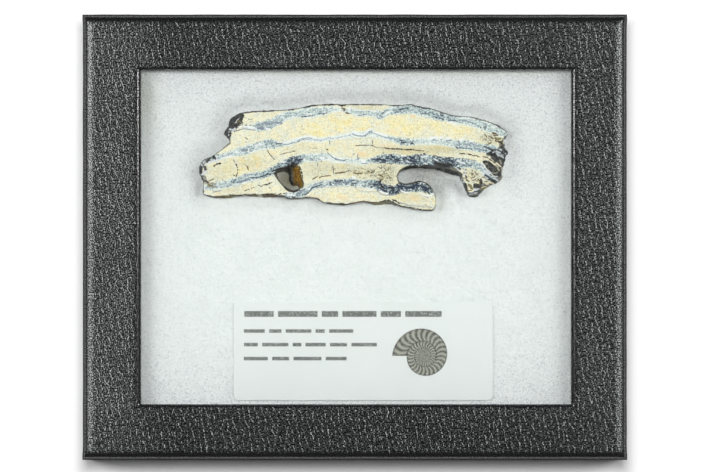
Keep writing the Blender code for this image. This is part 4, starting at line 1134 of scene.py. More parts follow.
        (0.2, 1, 6.8, 16, 7.1, 15.6), (0.1, 0.7, 7.3, 22.8, 7.3, 22.1, 7.3, 21.4),
        (0.22, 0.7, 7.7, 23, 9.3, 22.8, 11.4, 22.7, 12.5, 22.6, 14.1, 22.5, 15.5, 22.5),
        (0.15, 0.9, 14.2, 22.7, 15.9, 22.4, 17.7, 22.2), (0.12, 0.6, 27.7, 20.4, 29.9, 19.9, 31, 19.7),
        (0.15, 0.8, 28.7, 14.9, 29.2, 14.4), (0.16, 0.9, 29.1, 12.1, 29.6, 12, 30.1, 12.1),
        (0.14, 1, 29.6, 21.2, 30, 21.2), (0.1, 0.8, 29.8, 16.1, 30.4, 16.1),
        (0.1, 0.9, 30, 17.4, 30.4, 17.3, 30.2, 16.8), (0.12, 1, 30.1, 15.2, 30.4, 15.4, 30.7, 15.4),
        (0.14, 1, 30.3, 21, 30.8, 21, 31.3, 21), (0.1, 0.8, 30.3, 15.8, 30.2, 16),
        (0.12, 0.9, 30.3, 14.5, 30.9, 14.7, 31.2, 15, 31.5, 15.3), (0.11, 0.9, 30.7, 17.8, 30.8, 17.7),
        (0.1, 0.8, 31, 16.5, 31.5, 16.3, 31.9, 16.1), (0.11, 0.9, 31.2, 17.5, 31.4, 17.3),
        (0.14, 1, 31.6, 20.8, 32.1, 20.7), (0.1, 0.7, 31.7, 24.4, 32, 24.5),
        (0.2, 0.9, 31.9, 14.9, 32.2, 14.4, 32.3, 13.8), (0.1, 0.7, 32.5, 27.4, 32.9, 27.5),
        (0.1, 0.7, 32.7, 25.7, 32.9, 25.6), (0.14, 1, 33.5, 26.5, 33.7, 26.2, 34, 25.9),
        (0.13, 0.9, 33.9, 25.2, 33.7, 24.8), (0.1, 0.7, 34.1, 27.3, 34.2, 27.2),
        (0.12, 0.8, 34.2, 24.6, 34.6, 24.4), (0.16, 1, 34.3, 23.9, 34.7, 24.1, 35.2, 24.4),
        (0.12, 1, 34.5, 26.2, 34.9, 25.9), (0.15, 1, 35.1, 25.8, 35.5, 25.6, 35.8, 25.3),
        (0.26, 1, 35.6, 26.9, 36, 26.7, 36.3, 26.7), (0.16, 1, 35.8, 26.2, 36.3, 26.2, 36.9, 26.3),
        (0.11, 0.8, 36.1, 25.7, 36.8, 25.6, 37.6, 25.7), (0.13, 0.8, 36.4, 25.1, 36.3, 24.6),
        (0.2, 1, 36.9, 24.6, 37.4, 24.6, 37.8, 24.6), (0.12, 0.8, 37.9, 25.5, 38.1, 25.4),
    ),
    "ink": (
        (0.12, 1, -39.6, 17.5, -39.5, 16.9), (0.14, 1, -39.6, 15.6, -39.4, 15, -39.1, 14.6),
        (0.12, 1, -39.5, 16.5, -39.4, 16.4), (0.14, 1, -39.3, 11.3, -39.1, 11.2),
        (0.17, 1, -39.2, 14.2, -39.2, 13.1, -39, 11.7), (0.2, 0.9, -39.2, 11.4, -39, 11),
        (0.13, 1, -39.2, 14.1, -39.2, 12.8, -39.1, 12.1, -38.9, 11.7),
        (0.1, 1, -39.1, 13.7, -39.1, 12.6, -39, 11.6), (0.1, 1, -38.9, 16.9, -38.9, 16.9),
        (0.2, 1, -38.6, 10.8, -37.8, 10.6, -37.2, 10.4), (0.18, 1, -38.3, 15.3, -38.3, 14.7),
        (0.2, 1, -38, 14.3, -37.7, 14.1), (0.14, 1, -37.1, 20.7, -36.8, 20.6),
        (0.2, 1, -36.3, 18.4, -35.6, 18.7, -35.2, 18.9, -34.5, 19), (0.12, 0.8, -36.3, 18.2, -36.2, 18.1),
        (0.12, 1, -36.1, 21.4, -35.7, 21.7), (0.1, 0.9, -35.9, 21.6, -35.2, 22.3, -34.2, 22.7, -33.3, 23.5),
        (0.22, 0.9, -35.6, 21.2, -35.2, 21.2), (0.16, 1, -35.5, 21.2, -35.2, 21),
        (0.14, 0.8, -35.5, 18.8, -35.3, 18.7), (0.1, 0.8, -35.5, 22.2, -35.2, 22.3),
        (0.09, 0.9, -35.5, 15.4, -35.6, 14.7), (0.15, 0.8, -34.2, 21.4, -33.4, 21.7),
        (0.12, 0.7, -32.9, 21.9, -32, 22.2),
        (0.15, 1, -32.7, 24, -33.7, 23.2, -34.6, 22.5, -35.6, 22, -36.3, 21.4),
        (0.14, 1, -32.6, 26.7, -31.8, 26.9), (0.2, 1, -32.3, 26.9, -32, 26.8),
        (0.12, 0.6, -32.3, 25.9, -31.5, 25.8, -30.9, 25.9),
        (0.15, 1, -32.3, 11, -30.9, 10.9, -29.7, 10.8, -28.3, 11),
        (0.1, 1, -31.4, 19.9, -30.9, 19.1, -30.4, 18.2, -30.2, 17.1, -30.3, 16.2),
        (0.14, 0.9, -31.3, 20, -30.9, 19.5, -30.5, 18.7, -30.2, 17.9, -30.1, 17.1),
        (0.15, 0.8, -31.3, 16, -31.2, 16), (0.15, 0.9, -31.2, 28.8, -30.1, 28.7, -29, 29),
        (0.12, 1, -31.2, 27.1, -30.5, 27.4, -29.7, 27.7), (0.1, 1, -31.2, 16.1, -31, 15.8),
        (0.17, 1, -31.1, 27.3, -30.3, 27.5, -29.4, 27.7), (0.1, 1, -30.5, 15.6, -30.4, 15.3),
        (0.15, 0.9, -30.4, 16.2, -30.7, 15.4), (0.25, 1, -29.4, 31, -29.3, 30.7),
        (0.18, 1, -28.9, 29.5, -28.7, 29.2),
        (0.12, 0.8, -28.7, 31.3, -28.1, 30.6, -27.4, 30.4, -26.5, 30.4),
        (0.14, 0.8, -28.5, 28.9, -27.4, 28.8, -25.6, 28.7),
        (0.2, 1, -28.3, 32.3, -27.4, 32.4, -25.6, 32.3, -23.9, 32.5, -22.4, 32.5, -20.5, 32.8),
        (0.14, 0.9, -28.3, 25.7, -27.6, 25.3), (0.15, 1, -28.3, 12, -27.6, 12.3, -26.8, 12.5, -26, 12.8),
        (0.2, 1, -28.2, 24.7, -27.9, 24.4), (0.12, 0.8, -28.1, 23.9, -28.1, 23.8),
        (0.12, 0.8, -27.7, 25, -27.5, 25.1), (0.25, 1, -27.4, 10.6, -26, 11, -24.9, 11),
        (0.12, 0.6, -26.5, 24, -25.6, 24.4), (0.12, 0.5, -26.3, 30.6, -25.6, 30.7),
        (0.13, 0.8, -25.5, 24.4, -24.4, 24.5, -23.3, 24.9),
        (0.15, 0.9, -24.9, 13.5, -24.2, 13, -23.5, 13.4), (0.15, 1, -23.9, 11, -22.6, 11.2, -20.5, 11.2),
        (0.16, 1, -23.5, 13.4, -22.4, 13.6, -21.3, 14.1),
        (0.16, 0.8, -23.1, 32.4, -22.3, 32.6, -21, 32.8, -19.7, 32.9, -17.6, 33),
        (0.15, 0.8, -23.1, 19.5, -22.8, 19.3),
        (0.15, 1, -23.1, 11, -21.7, 11.1, -20.3, 10.8, -19, 11.2, -17.7, 11.3),
        (0.15, 0.9, -23.1, 13.6, -21.4, 14.1), (0.13, 0.8, -22.5, 22.1, -22, 21.5, -21.5, 20.9),
        (0.15, 0.9, -22.1, 12.8, -21.7, 12.5), (0.15, 0.9, -22, 12.8, -21.8, 12.5),
        (0.3, 1, -21.2, 17.1, -19.9, 17.5, -19, 17.8, -18, 17.8, -17.3, 18.2, -16.5, 18.6, -16, 18.9,
         -14.9, 18.9),
        (0.2, 1, -20.6, 16.5, -19.9, 16.5),
        (0.17, 1, -18.6, 13.4, -17.6, 12.3, -16.9, 11.8, -15.5, 11.8, -14.7, 12),
        (0.15, 0.9, -17.6, 19, -17.5, 19), (0.25, 1, -17.6, 10.2, -16.9, 10.1),
        (0.22, 1, -17.2, 32.8, -16.2, 32.8, -15.7, 32.9),
        (0.45, 1, -17.1, 17.9, -16.9, 16.2, -16.6, 14.7, -16.2, 13.9),
        (0.3, 1, -16.8, 17.7, -16.8, 16.1, -16.8, 14.5), (0.2, 1, -16.2, 10.4, -15.4, 10.1),
        (0.3, 0.9, -16.2, 18.3, -15.4, 18.3), (0.12, 0.8, -15.7, 32.9, -14.6, 33.3),
        (0.17, 1, -14.3, 33.4, -13.5, 33.5, -12.7, 33.5),
        (0.2, 1, -14.3, 18.4, -13.9, 17.5, -13.6, 16.2, -13.5, 14.7, -13.2, 13.6, -13.5, 13),
        (0.25, 1, -12.7, 33.5, -11.8, 33.6, -11.3, 33.9),
        (0.2, 1, -11.3, 33.9, -10.3, 33.9, -9.4, 34.2, -8.6, 34.2, -7.3, 34, -6.6, 34, -5.4, 34.2),
        (0.12, 0.8, -9.6, 15.8, -9.6, 15.4), (0.15, 0.9, -9.4, 9.9, -9, 9.5),
        (0.2, 1, -8.8, 9.3, -7.9, 8.8, -6.9, 8.9), (0.15, 1, -7.2, 32.1, -7, 32.1),
        (0.22, 1, -7.2, 22.6, -6.8, 22.5), (0.2, 1, -6.8, 8.9, -5.8, 8.7),
        (0.1, 0.7, -6.6, 23.4, -6.7, 22.8), (0.18, 1, -6.6, 13.9, -6.2, 13.6),
        (0.12, 0.9, -6.5, 25, -6.5, 24.4, -6.4, 23.8), (0.2, 1, -5.5, 8.7, -4.6, 8.6, -3.5, 8.7, -2.5, 8.6),
        (0.2, 1, -5.3, 14.5, -4.2, 14.5, -3.2, 14.6), (0.2, 1, -5.1, 14.3, -4.3, 14.5, -3.3, 14.5),
        (0.2, 1, -5.1, 8.6, -4.3, 8.7, -3.4, 8.5, -2.3, 8.4, -1.4, 8.6),
        (0.2, 1, -4.2, 34.1, -3.2, 34, -2.5, 33.9), (0.22, 1, -4, 34, -3.3, 33.8, -2.8, 34.1, -2.3, 34.2),
        (0.2, 1, -2.3, 32.1, -1.8, 32),
        (0.17, 0.9, -1.7, 34.4, -0.6, 34.3, 0.8, 34.3, 1.8, 34.2, 2.9, 34.2, 3.7, 34.3),
        (0.17, 1, -1.5, 31.8, -1.3, 31.8), (0.2, 1, -1, 13.4, -0.4, 13.3),
        (0.17, 0.9, -0.4, 22.5, -0.3, 22.1), (0.18, 0.9, -0.3, 21.5, -0.2, 21.3),
        (0.15, 0.8, 0.9, 14.3, 1.8, 14.6), (0.15, 1, 1.8, 13.4, 2.7, 13.1), (0.15, 1, 3.1, 16.9, 3.7, 16.9),
        (0.15, 0.8, 3.4, 13.8, 4.4, 13.6), (0.15, 0.7, 3.7, 34.3, 4.5, 34.1, 5.1, 34.1),
        (0.2, 1, 4, 16.7, 4.5, 16.7, 5.1, 16.9), (0.12, 0.8, 4.5, 17.3, 4.9, 17.2),
        (0.14, 0.9, 5.5, 23.1, 6.6, 23, 7.7, 23, 9.3, 22.9, 11.4, 22.8, 12.5, 22.6, 14.1, 22.6, 15.5, 22.6),
        (0.15, 0.8, 5.9, 34.3, 6.8, 34.3, 7.8, 34.3), (0.35, 1, 6.2, 14.3, 6.6, 13.9, 6.8, 13.4, 7.3, 12.8),
        (0.22, 1, 6.2, 8.9, 7.3, 9.3, 7.9, 9.5, 8.9, 9.5), (0.12, 0.6, 7.4, 17.2, 7.7, 17.8),
        (0.28, 1, 8.1, 34.3, 8.6, 34.2, 9, 34.2), (0.25, 1, 8.6, 12.8, 9.4, 12.8, 10, 12.5),
        (0.17, 1, 8.9, 9.5, 9.7, 9.1, 10.7, 8.6, 11.6, 8.2, 13, 7.8, 14.1, 7.6, 15.5, 7.5),
        (0.22, 1, 9.2, 34, 10.4, 33.9, 11.6, 33.9, 12.7, 34.2, 14.1, 34.2, 15.5, 34.1),
        (0.12, 0.9, 9.2, 16.7, 9.6, 16.6),
        (0.22, 1, 12.9, 13.6, 14.3, 13.8, 15.6, 14.1, 16.9, 14.3, 18.1, 14.1, 19.2, 13.2, 19.6, 12.3,
         19.8, 11.6),
        (0.15, 0.9, 12.9, 8, 14, 7.8, 15.6, 7.5, 17.4, 7.1, 18.8, 7, 19.9, 7),
        (0.2, 1, 12.9, 17.5, 14.7, 17.7, 16.8, 17.8, 19.3, 17.9, 21.4, 17.5),
        (0.35, 1, 13.3, 17.6, 14.7, 17.7, 16.1, 18.3),
        (0.22, 1, 14.2, 34.2, 15.2, 34, 16.5, 33.7, 17.7, 33.2, 18.4, 33.4, 19.4, 33.3),
        (0.18, 0.8, 15.2, 33.6, 15.3, 33.6), (0.2, 1, 16.3, 18, 18.3, 18.1, 20.1, 18.1),
        (0.13, 0.7, 17.8, 8.4, 18.7, 8.2), (0.14, 0.8, 20.1, 32.9, 21.2, 32.5, 21.9, 32.1),
        (0.12, 0.8, 20.1, 11.8, 20.6, 10.9, 21, 10.2),
        (0.42, 1, 20.5, 19.2, 22.3, 18.8, 23.7, 18.6, 25.5, 18.6),
        (0.22, 1, 21.9, 32.1, 23.3, 32, 24.5, 31.6), (0.17, 1, 23.5, 20.1, 24.4, 20.4, 25.5, 20.4),
        (0.15, 0.8, 24.7, 31.5, 26.4, 31.2, 27.1, 31.1), (0.2, 1, 27.1, 21.6, 28.2, 21.5, 29.8, 21.3),
        (0.22, 1, 27.1, 15.5, 27.2, 15.1, 27.5, 14.4), (0.1, 0.8, 27.6, 16.5, 27.8, 16.2),
        (0.1, 0.8, 27.9, 17.6, 28.8, 17.6), (0.22, 1, 29.2, 10.6, 30.1, 10.5, 31, 10.5),
        (0.13, 0.8, 29.3, 18.6, 29.8, 18.5), (0.14, 1, 29.5, 18.6, 29.8, 18.5),
        (0.15, 0.8, 29.8, 21.3, 31.7, 20.9), (0.1, 0.8, 29.9, 22.6, 30, 22.5),
        (0.17, 1, 30.3, 31.1, 31, 30.7, 31.8, 30.4), (0.28, 1, 31.1, 10.4, 31.6, 10.4, 31.9, 10.7),
        (0.12, 1, 31.7, 14.4, 32.2, 13.7, 31.9, 12.9), (0.12, 0.9, 32.2, 15.7, 32.3, 15.1),
        (0.18, 1, 32.4, 28.3, 32.5, 28.3), (0.14, 1, 32.5, 28.4, 32.6, 28.1),
        (0.14, 0.9, 32.7, 30.2, 34.5, 29.8), (0.09, 0.9, 32.8, 18.7, 32.9, 18.6),
        (0.13, 1, 32.9, 22, 33.1, 21.9), (0.14, 1, 33.1, 19.3, 33.5, 18.8, 33.9, 18.4),
        (0.12, 0.9, 33.1, 12, 33.5, 12.2, 33.9, 12.4),
        (0.15, 1, 33.2, 28.3, 33.4, 28.5, 33.6, 28.7, 33.9, 28.5),
        (0.13, 1, 33.3, 14.3, 33.7, 14.4, 34.2, 14.5), (0.18, 0.9, 33.4, 28.6, 33.8, 28.1, 33.2, 28.2),
        (0.2, 1, 33.4, 13.6, 33.6, 13.5), (0.1, 0.8, 33.5, 27.8, 33.6, 27.6),
        (0.13, 1, 33.6, 13.2, 34.5, 13, 35.1, 13.3, 35.7, 13.4, 36.1, 13.6),
        (0.12, 0.9, 33.9, 28.5, 33.9, 28.2),
        (0.13, 1, 34.2, 20.6, 34.7, 20.2, 35.2, 19.8, 35.7, 19.4, 36, 19),
        (0.09, 1, 34.4, 19.9, 35, 19.3, 35.8, 18.6, 36.7, 18, 37.4, 17.4),
        (0.2, 1, 34.5, 29.8, 35.7, 29.2, 36.9, 28.7, 38.1, 28.2), (0.1, 0.8, 34.6, 13.6, 34.7, 13.5),
        (0.09, 1, 34.6, 20.3, 35.4, 19.7, 36.3, 19.1, 37.1, 18.4, 37.7, 17.8), (0.2, 1, 35, 16.1, 35.2, 16),
        (0.12, 0.9, 36.1, 19.5, 36.5, 19.3), (0.15, 1, 36.5, 27.4, 36.8, 27.2, 37.1, 26.9),
        (0.12, 0.8, 37.7, 27.2, 38, 27.1),
        (0.2, 1, 38.4, 25.9, 38.9, 25.8, 39.3, 26.1, 39.6, 26.5, 39.5, 26.9, 39.1, 27),
        (0.13, 0.9, 38.5, 26.6, 38.8, 26.7),
    ),
}

# Porous stretches in millimetres: centre, two radii, strength
POROUS = (
    (34.6, 25.6, 3.4, 2.0, 0.8), (30.6, 15.9, 1.9, 1.9, 1.0), (8.3, 16.5, 2.6, 3.6, 1.0),
    (2.5, 16.6, 4.0, 2.0, 0.9), (-10.5, 17.2, 4.0, 2.2, 0.45), (-4.5, 17.6, 4.0, 1.6, 0.4),
)

# Warm stretches of the cream tissue in millimetres: centre, two radii, strength
WARM = (
    (-10.0, 27.2, 4.5, 2.4, 0.7), (-4.0, 29.5, 3.6, 3.0, 0.7), (0.5, 29.0, 3.2, 2.0, 0.5),
    (9.5, 29.4, 4.0, 2.8, 0.6), (14.0, 27.2, 4.2, 2.2, 0.8), (21.5, 28.6, 6.5, 2.4, 0.6),
    (28.6, 27.4, 3.4, 2.0, 0.6), (-26.0, 18.6, 4.4, 2.6, 0.6), (-32.5, 17.2, 4.0, 2.0, 0.5),
    (-9.0, 22.9, 7.0, 1.2, 0.6), (3.0, 21.8, 3.4, 1.6, 0.8), (13.0, 21.6, 6.0, 1.0, 0.9),
    (21.0, 23.2, 4.6, 1.0, 0.8), (-3.0, 11.0, 6.0, 1.6, 0.6), (15.5, 10.6, 5.0, 1.4, 0.7),
    (-26.0, 12.3, 4.0, 1.0, 0.5),
)

# Dull, greyer stretches of the cream tissue in millimetres: centre, two radii, strength
DULL = (
    (16.0, 22.4, 11.0, 1.3, 0.75), (25.0, 22.6, 5.0, 1.2, 0.4), (14.8, 10.3, 5.0, 1.5, 0.5),
    (9.1, 16.3, 3.0, 3.0, 0.35), (-3.0, 18.2, 4.0, 2.0, 0.45), (-10.5, 17.4, 3.6, 2.4, 0.3),
    (-34.7, 16.8, 4.0, 2.6, 0.4), (-26.7, 19.0, 4.5, 2.2, 0.5), (2.6, 33.4, 5.0, 0.9, 0.4),
    (-31.0, 12.2, 5.0, 1.2, 0.35), (-14.0, 22.8, 5.0, 1.0, 0.3),
)

# Where the broken side is as pale as the face, in millimetres: centre, two radii, strength
PALE = ((21.8, 9.6, 2.0, 2.6, 1.0), (-24.5, 10.4, 2.6, 1.0, 0.5))

# Places in millimetres where the broken outline stands out from the solid's: centre, reach, push
NUDGES = (
    (38.6, 21.6, 1.2, 0.8, 0.0), (37.6, 19.8, 1.6, 1.15, -0.1), (37.0, 17.4, 1.6, 1.2, 0.0),
    (37.0, 15.2, 1.2, 0.9, 0.1), (38.0, 24.4, 1.0, 0.5, 0.0), (-39.7, 17.2, 2.0, -0.3, 0.1),
    (-31.5, 30.5, 1.6, -0.45, 0.25), (-33.3, 26.8, 0.9, -0.3, 0.0), (-39.0, 11.6, 0.9, -0.2, -0.2),
    (-39.0, 19.2, 1.2, -0.35, 0.2), (21.3, 9.5, 2.0, -0.4, 0.0), (18.5, 14.2, 1.5, 0.0, -0.2),
    (15.0, 17.9, 2.4, 0.0, 0.3), (19.6, 18.0, 2.4, 0.0, 0.3),
)


def stroke_field(x, y, strokes):
    """Strength of the strongest mark at each place, soft at its sides, from 0 to 1."""
    field = np.zeros_like(x)
    for half, strength, *line in strokes:
        knots = np.array(line).reshape(-1, 2)
        reach = 2.6 * half
        low, high = knots.min(0) - reach, knots.max(0) + reach
        near = np.flatnonzero((x > low[0]) & (x < high[0]) & (y > low[1]) & (y < high[1]))
        px, py = x[near], y[near]
        nearest = np.full(len(near), 1e3)
        for (x0, y0), (x1, y1) in zip(knots, knots[1:]):
            run_x, run_y = x1 - x0, y1 - y0
            square = max(run_x**2 + run_y**2, 1e-9)
            along = np.clip(((px - x0) * run_x + (py - y0) * run_y) / square, 0, 1)
            gap = np.hypot(px - x0 - along * run_x, py - y0 - along * run_y)
            nearest = np.minimum(nearest, gap)
        field[near] = np.maximum(field[near], strength * np.exp(-((nearest / half) ** 2)))
    return field


def refine_solid(solid, name):
    """Copy the slice's solid into evenly small cells: finest on its face, coarse underneath."""
    tooth = solid.copy()
    tooth.data = solid.data.copy()
    for key in list(tooth.keys()):
        del tooth[key]
    tooth.parent = None
    bpy.context.scene.collection.objects.link(tooth)
    tooth.name = name
    tooth.data.name = name
    apply_modifier(tooth, "WELD", merge_threshold=0.00001)
    apply_modifier(tooth, "REMESH", mode="VOXEL", voxel_size=TOOTH_CELL, adaptivity=0.0)
    bpy.ops.object.mode_set(mode="EDIT")
    edit_select(tooth, "FACE", lambda face: face.normal.z < -0.95)
    bpy.ops.mesh.decimate(ratio=BACK_SHARE)
    edit_select(tooth, "FACE", lambda face: face.normal.z > 0.3)
    bpy.ops.mesh.subdivide(number_cuts=1)
    bpy.ops.object.mode_set(mode="OBJECT")
    return tooth


def model_tooth(frame):
    """Refine a copy of the slice's solid, roughen its natural sides and score its face."""
    tooth = refine_solid(frame["nodes"]["tooth_slice"], "tooth_fossil")
    low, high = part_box("tooth_slice")
    points = points_of(tooth)
    normals = read_vectors(tooth.data.vertex_normals, "vector")
    x, y = points[:, 0] / MM, points[:, 1] / MM
    for centre_x, centre_y, reach, push_x, push_y in NUDGES:
        share = np.exp(-((x - centre_x) ** 2 + (y - centre_y) ** 2) / reach**2)
        x, y = x + push_x * share, y + push_y * share
    points[:, 0], points[:, 1] = x * MM, y * MM
    sawn = np.clip((normals[:, 2] - 0.5) / 0.4, 0, 1)
    sawn = sawn * sawn * (3 - 2 * sawn)
    side = np.clip(2.5 * (1 - np.abs(normals[:, 2])), 0, 1)
    marks = {kind: stroke_field(x, y, strokes) for kind, strokes in STROKES.items()}
    rough = wobble(points, *SIDE_LUMPS) + wobble(points, *SIDE_GRAIN)
    broken = marks["charcoal"] * wobble(points, *BROKEN_GRAIN)
    points += normals * MM * (rough * side + broken)[:, None]

    depth, stain, layer = enamel_fields(x, y)
    porous = blobs(x, y, POROUS)
    sunk = sum(share * marks[kind] for kind, share in MARK_DEPTHS.items())
    sunk += porous * np.clip(wobble(points, *PORE_GRAIN) - PORE_START, 0, 1) * PORE_DEPTH
    sunk -= ENAMEL_RISE * np.clip(depth / 0.4, 0, 1)
    points[:, 2] -= sunk * MM * sawn
    points[:, 2] = np.clip(points[:, 2], low.z, high.z + FACE_ROOM)
    move_points(tooth, points)

    fields = {
        "enamel_depth": depth, "enamel_stain": stain, "porous": porous,
        "warm": blobs(x, y, WARM), "dull": blobs(x, y, DULL), "pale": blobs(x, y, PALE),
        "sawn": sawn, "rim": rim_field(points, sawn, high.z), **marks,
    }
    for name, values in fields.items():
        store(tooth, name, values)
    strata = tooth.data.uv_layers.new(name="strata")
    uv = np.stack([x, layer * LAYER_PITCH], 1)
    corners = np.empty(len(tooth.data.loops), dtype=np.int64)
    tooth.data.loops.foreach_get("vertex_index", corners)
    strata.data.foreach_set("uv", uv[corners].astype(np.float32).ravel())
    settle(tooth, 60)
    return tooth


def rim_field(points, sawn, top):
    """1 on the edge of the sawn face, fading inwards over half a millimetre."""
    upper = points[:, 2] > top - RIM_HEIGHT
    edge = np.flatnonzero((sawn < 0.5) & upper)
    tree = KDTree(len(edge))
    for index in edge:
        x, y, _ = points[index]
        tree.insert(Vector((x, y, 0)), int(index))
    tree.balance()
    values = np.zeros(len(points))
    for index in np.flatnonzero(upper):
        x, y, _ = points[index]
        distance = tree.find(Vector((x, y, 0)))[2]
        values[index] = math.exp(-((distance / RIM_REACH) ** 2))
    return values


def fossil():
    """Sawn fossil tooth: cream tissue, blue-grey enamel ribbons, dark cracks and skin."""
    finish = Finish("fossil", Specular_IOR_Level=0.45)
    place = finish.millimetres()
    strata = finish.node("UVMap", {"uv_map": "strata"})
    streaks = finish.noise(finish.stretch(strata, (0.35, 3.0, 1.0)), 1.0, 3.0, 0.6) - 0.5
    fibres = finish.noise(finish.stretch(strata, (2.6, 0.45, 1.0)), 1.0, 3.0, 0.6) - 0.5
    clouds = finish.noise(place, 0.5, 4.0, 0.6) - 0.5
    speckle = finish.noise(place, 2.0, 3.0, 0.65) - 0.5
    grit = finish.noise(place, 3.0, 1.0, 0.5) - 0.5
    fine = finish.noise(place, 4.6, 2.0, 0.6) - 0.5

    # Cream tissue between the ribbons
    warmth = finish.attribute("warm") * 0.35 + finish.attribute("yellow") * 0.55
    tone = warmth + clouds * 1.7 + fibres * 0.7 + speckle * 1.2 + 0.25
    cream = finish.ramp(tone, (
        (0.0, srgb(230, 234, 216)), (0.25, srgb(242, 241, 215)), (0.5, srgb(247, 241, 205)),
        (0.75, srgb(250, 242, 190)), (1.0, srgb(249, 236, 168)),
    ))
    cream = finish.mix(finish.fade(grit + speckle * 0.6, 0.06, 0.24) * 0.75, cream, srgb(206, 199, 160))
    cream = finish.mix(finish.fade(grit - speckle * 0.4, -0.06, -0.22) * 0.8, cream, srgb(253, 252, 240))
    dull = finish.attribute("dull")
    cream = finish.mix(dull * (0.75 + grit * 1.6), cream, srgb(198, 191, 152))
    shade = finish.fade(streaks + speckle * 0.7 + fine * 0.5, -0.05, -0.32)
    cream = finish.mix(shade * 0.6, cream, srgb(190, 182, 138))

    # Its pores and worm-like hollows
    porous = finish.attribute("porous")
    holes = finish.fade(finish.cells(place, 1.9), 0.30, 0.12) * finish.fade(porous, 0.2, 0.6)
    cream = finish.mix(porous * (speckle * 1.6 + 0.3), cream, srgb(198, 198, 160))
    cream = finish.mix(holes * 0.85, cream, srgb(92, 76, 46))
    worm_field = finish.noise(finish.warp(place, 0.8, 1.2), 1.25, 1.0, 0.5) - 0.5
    worms = finish.fade(abs(worm_field), 0.06, 0.015) * finish.fade(porous + speckle, 0.45, 0.8)
    cream = finish.mix(worms * 0.9, cream, srgb(104, 84, 44))
    cream = finish.mark(cream, "tan", fine * 0.5, 0.1, 1.1, srgb(246, 221, 170))

    # Enamel ribbons, and the marks on them
    depth = finish.attribute("enamel_depth")
    ragged = depth + speckle * 1.1 + fine * 0.7
    inside = finish.fade(ragged, -0.12, 0.08)
    core = finish.fade(ragged, 0.1, 0.5)
    stain = finish.attribute("enamel_stain")
    grain = speckle * 2.0 + fine * 1.6 + streaks * 0.8
    blue = stain * 0.85 + grain * (stain + 0.35) - (1 - core) * 0.25 + 0.02
    enamel = finish.ramp(blue, (
        (0.0, srgb(243, 248, 243)), (0.2, srgb(220, 232, 226)), (0.4, srgb(180, 199, 198)),
        (0.6, srgb(132, 149, 158)), (0.8, srgb(72, 84, 98)), (1.0, srgb(26, 31, 38)),
    ))
    colour = finish.mix(inside, cream, enamel)
    colour = finish.mark(colour, "slate", grain * 0.25, 0.2, 0.8, srgb(128, 138, 156))
    colour = finish.mark(colour, "navy", grain * 0.3, 0.25, 0.7, srgb(48, 58, 78))
    colour = finish.mark(colour, "white", fine * 0.5, 0.25, 0.75, srgb(247, 249, 249))

    # Dark natural skin on the sides, and on broken stretches of the face
    pale = finish.attribute("pale")
    skin = finish.ramp(finish.noise(place, 1.3, 4.0, 0.7), (
        (0.3, srgb(20, 21, 21)), (0.48, srgb(46, 48, 47)), (0.6, srgb(84, 86, 83)),
        (0.74, srgb(146, 146, 138)),
    ))
    wall = finish.mix(0.86 - pale * 0.8, colour, skin)
    colour = finish.mix(1 - finish.attribute("sawn"), colour, wall)
    colour = finish.mark(colour, "charcoal", speckle * 1.2 + grit * 0.8, 0.25, 0.5, skin)
    colour = finish.mark(colour, "taupe", speckle * 1.2, 0.2, 0.6, srgb(150, 146, 130))
    colour = finish.mark(colour, "cream", grit * 0.8, 0.3, 0.6, srgb(238, 229, 197))
    colour = finish.mark(colour, "olive", speckle * 0.8, 0.25, 0.6, srgb(132, 126, 84))
    # Painted glints as light grey specks over the dark skin
    colour = finish.mark(colour, "painted_glints", grit * 1.4, 0.25, 0.6, srgb(214, 219, 224))
    amber = finish.ramp(speckle + 0.5, (
        (0.3, srgb(60, 46, 14)), (0.5, srgb(146, 108, 28)), (0.68, srgb(206, 160, 64)),
    ))
    colour = finish.mark(colour, "amber", speckle * 0.5, 0.25, 0.6, amber)
    colour = finish.mark(colour, "brown", grit * 1.0, 0.22, 0.7, srgb(104, 82, 42))

    # Darker edge of the sawn face, then the cracks over everything
    rim = finish.fade(finish.attribute("rim") + clouds * 1.4 + speckle, 0.75, 1.0)
    colour = finish.mix(rim * (0.5 - pale * 0.5), colour, srgb(74, 70, 58))
    colour = finish.mark(colour, "ink", grit * 1.8 + fine * 1.0, 0.42, 0.85, srgb(44, 41, 34))

    relief = speckle * 0.5 + fine * 0.4 - holes * 1.2 + inside * 0.15
    finish.set(
        Base_Color=colour,
        Roughness=0.6 - inside * 0.22,
        Normal=finish.bump(relief, 0.1 * MM, 0.7),
    )
    return finish.material


# ---------------------------------------------------------------- label

CARD_CORNER = 1.4 * MM
CARD_EDGE = 0.06 * MM
PRINT_BLUR = 0.12  # millimetres

# Grey bars on the card in millimetres from its middle: left end, height, thickness, bar lengths
CARD_LINES = (
    (-30.7, 9.6, 1.5, (7.6, 10.2, 4.2, 8.8, 5.2, 9.4)),
    (-30.8, 5.2, 0.9, (5.4, 3.2, 6.6, 2.4, 6.2)),
    (-30.8, 1.7, 0.9, (3.6, 6.8, 2.2, 5.2, 4.4, 6.6)),
    (-30.8, -1.9, 0.9, (6.2, 4.4, 7.2, 5.4)),
)
BAR_GAP = 1.1

# Printed coiled shell: middle and radius in millimetres, growth of the coil in a turn, ribs
SHELL_MIDDLE = (15.6, -1.2)
SHELL_RADIUS = 4.4
SHELL_GROWTH = 0.62
SHELL_RIBS = 26


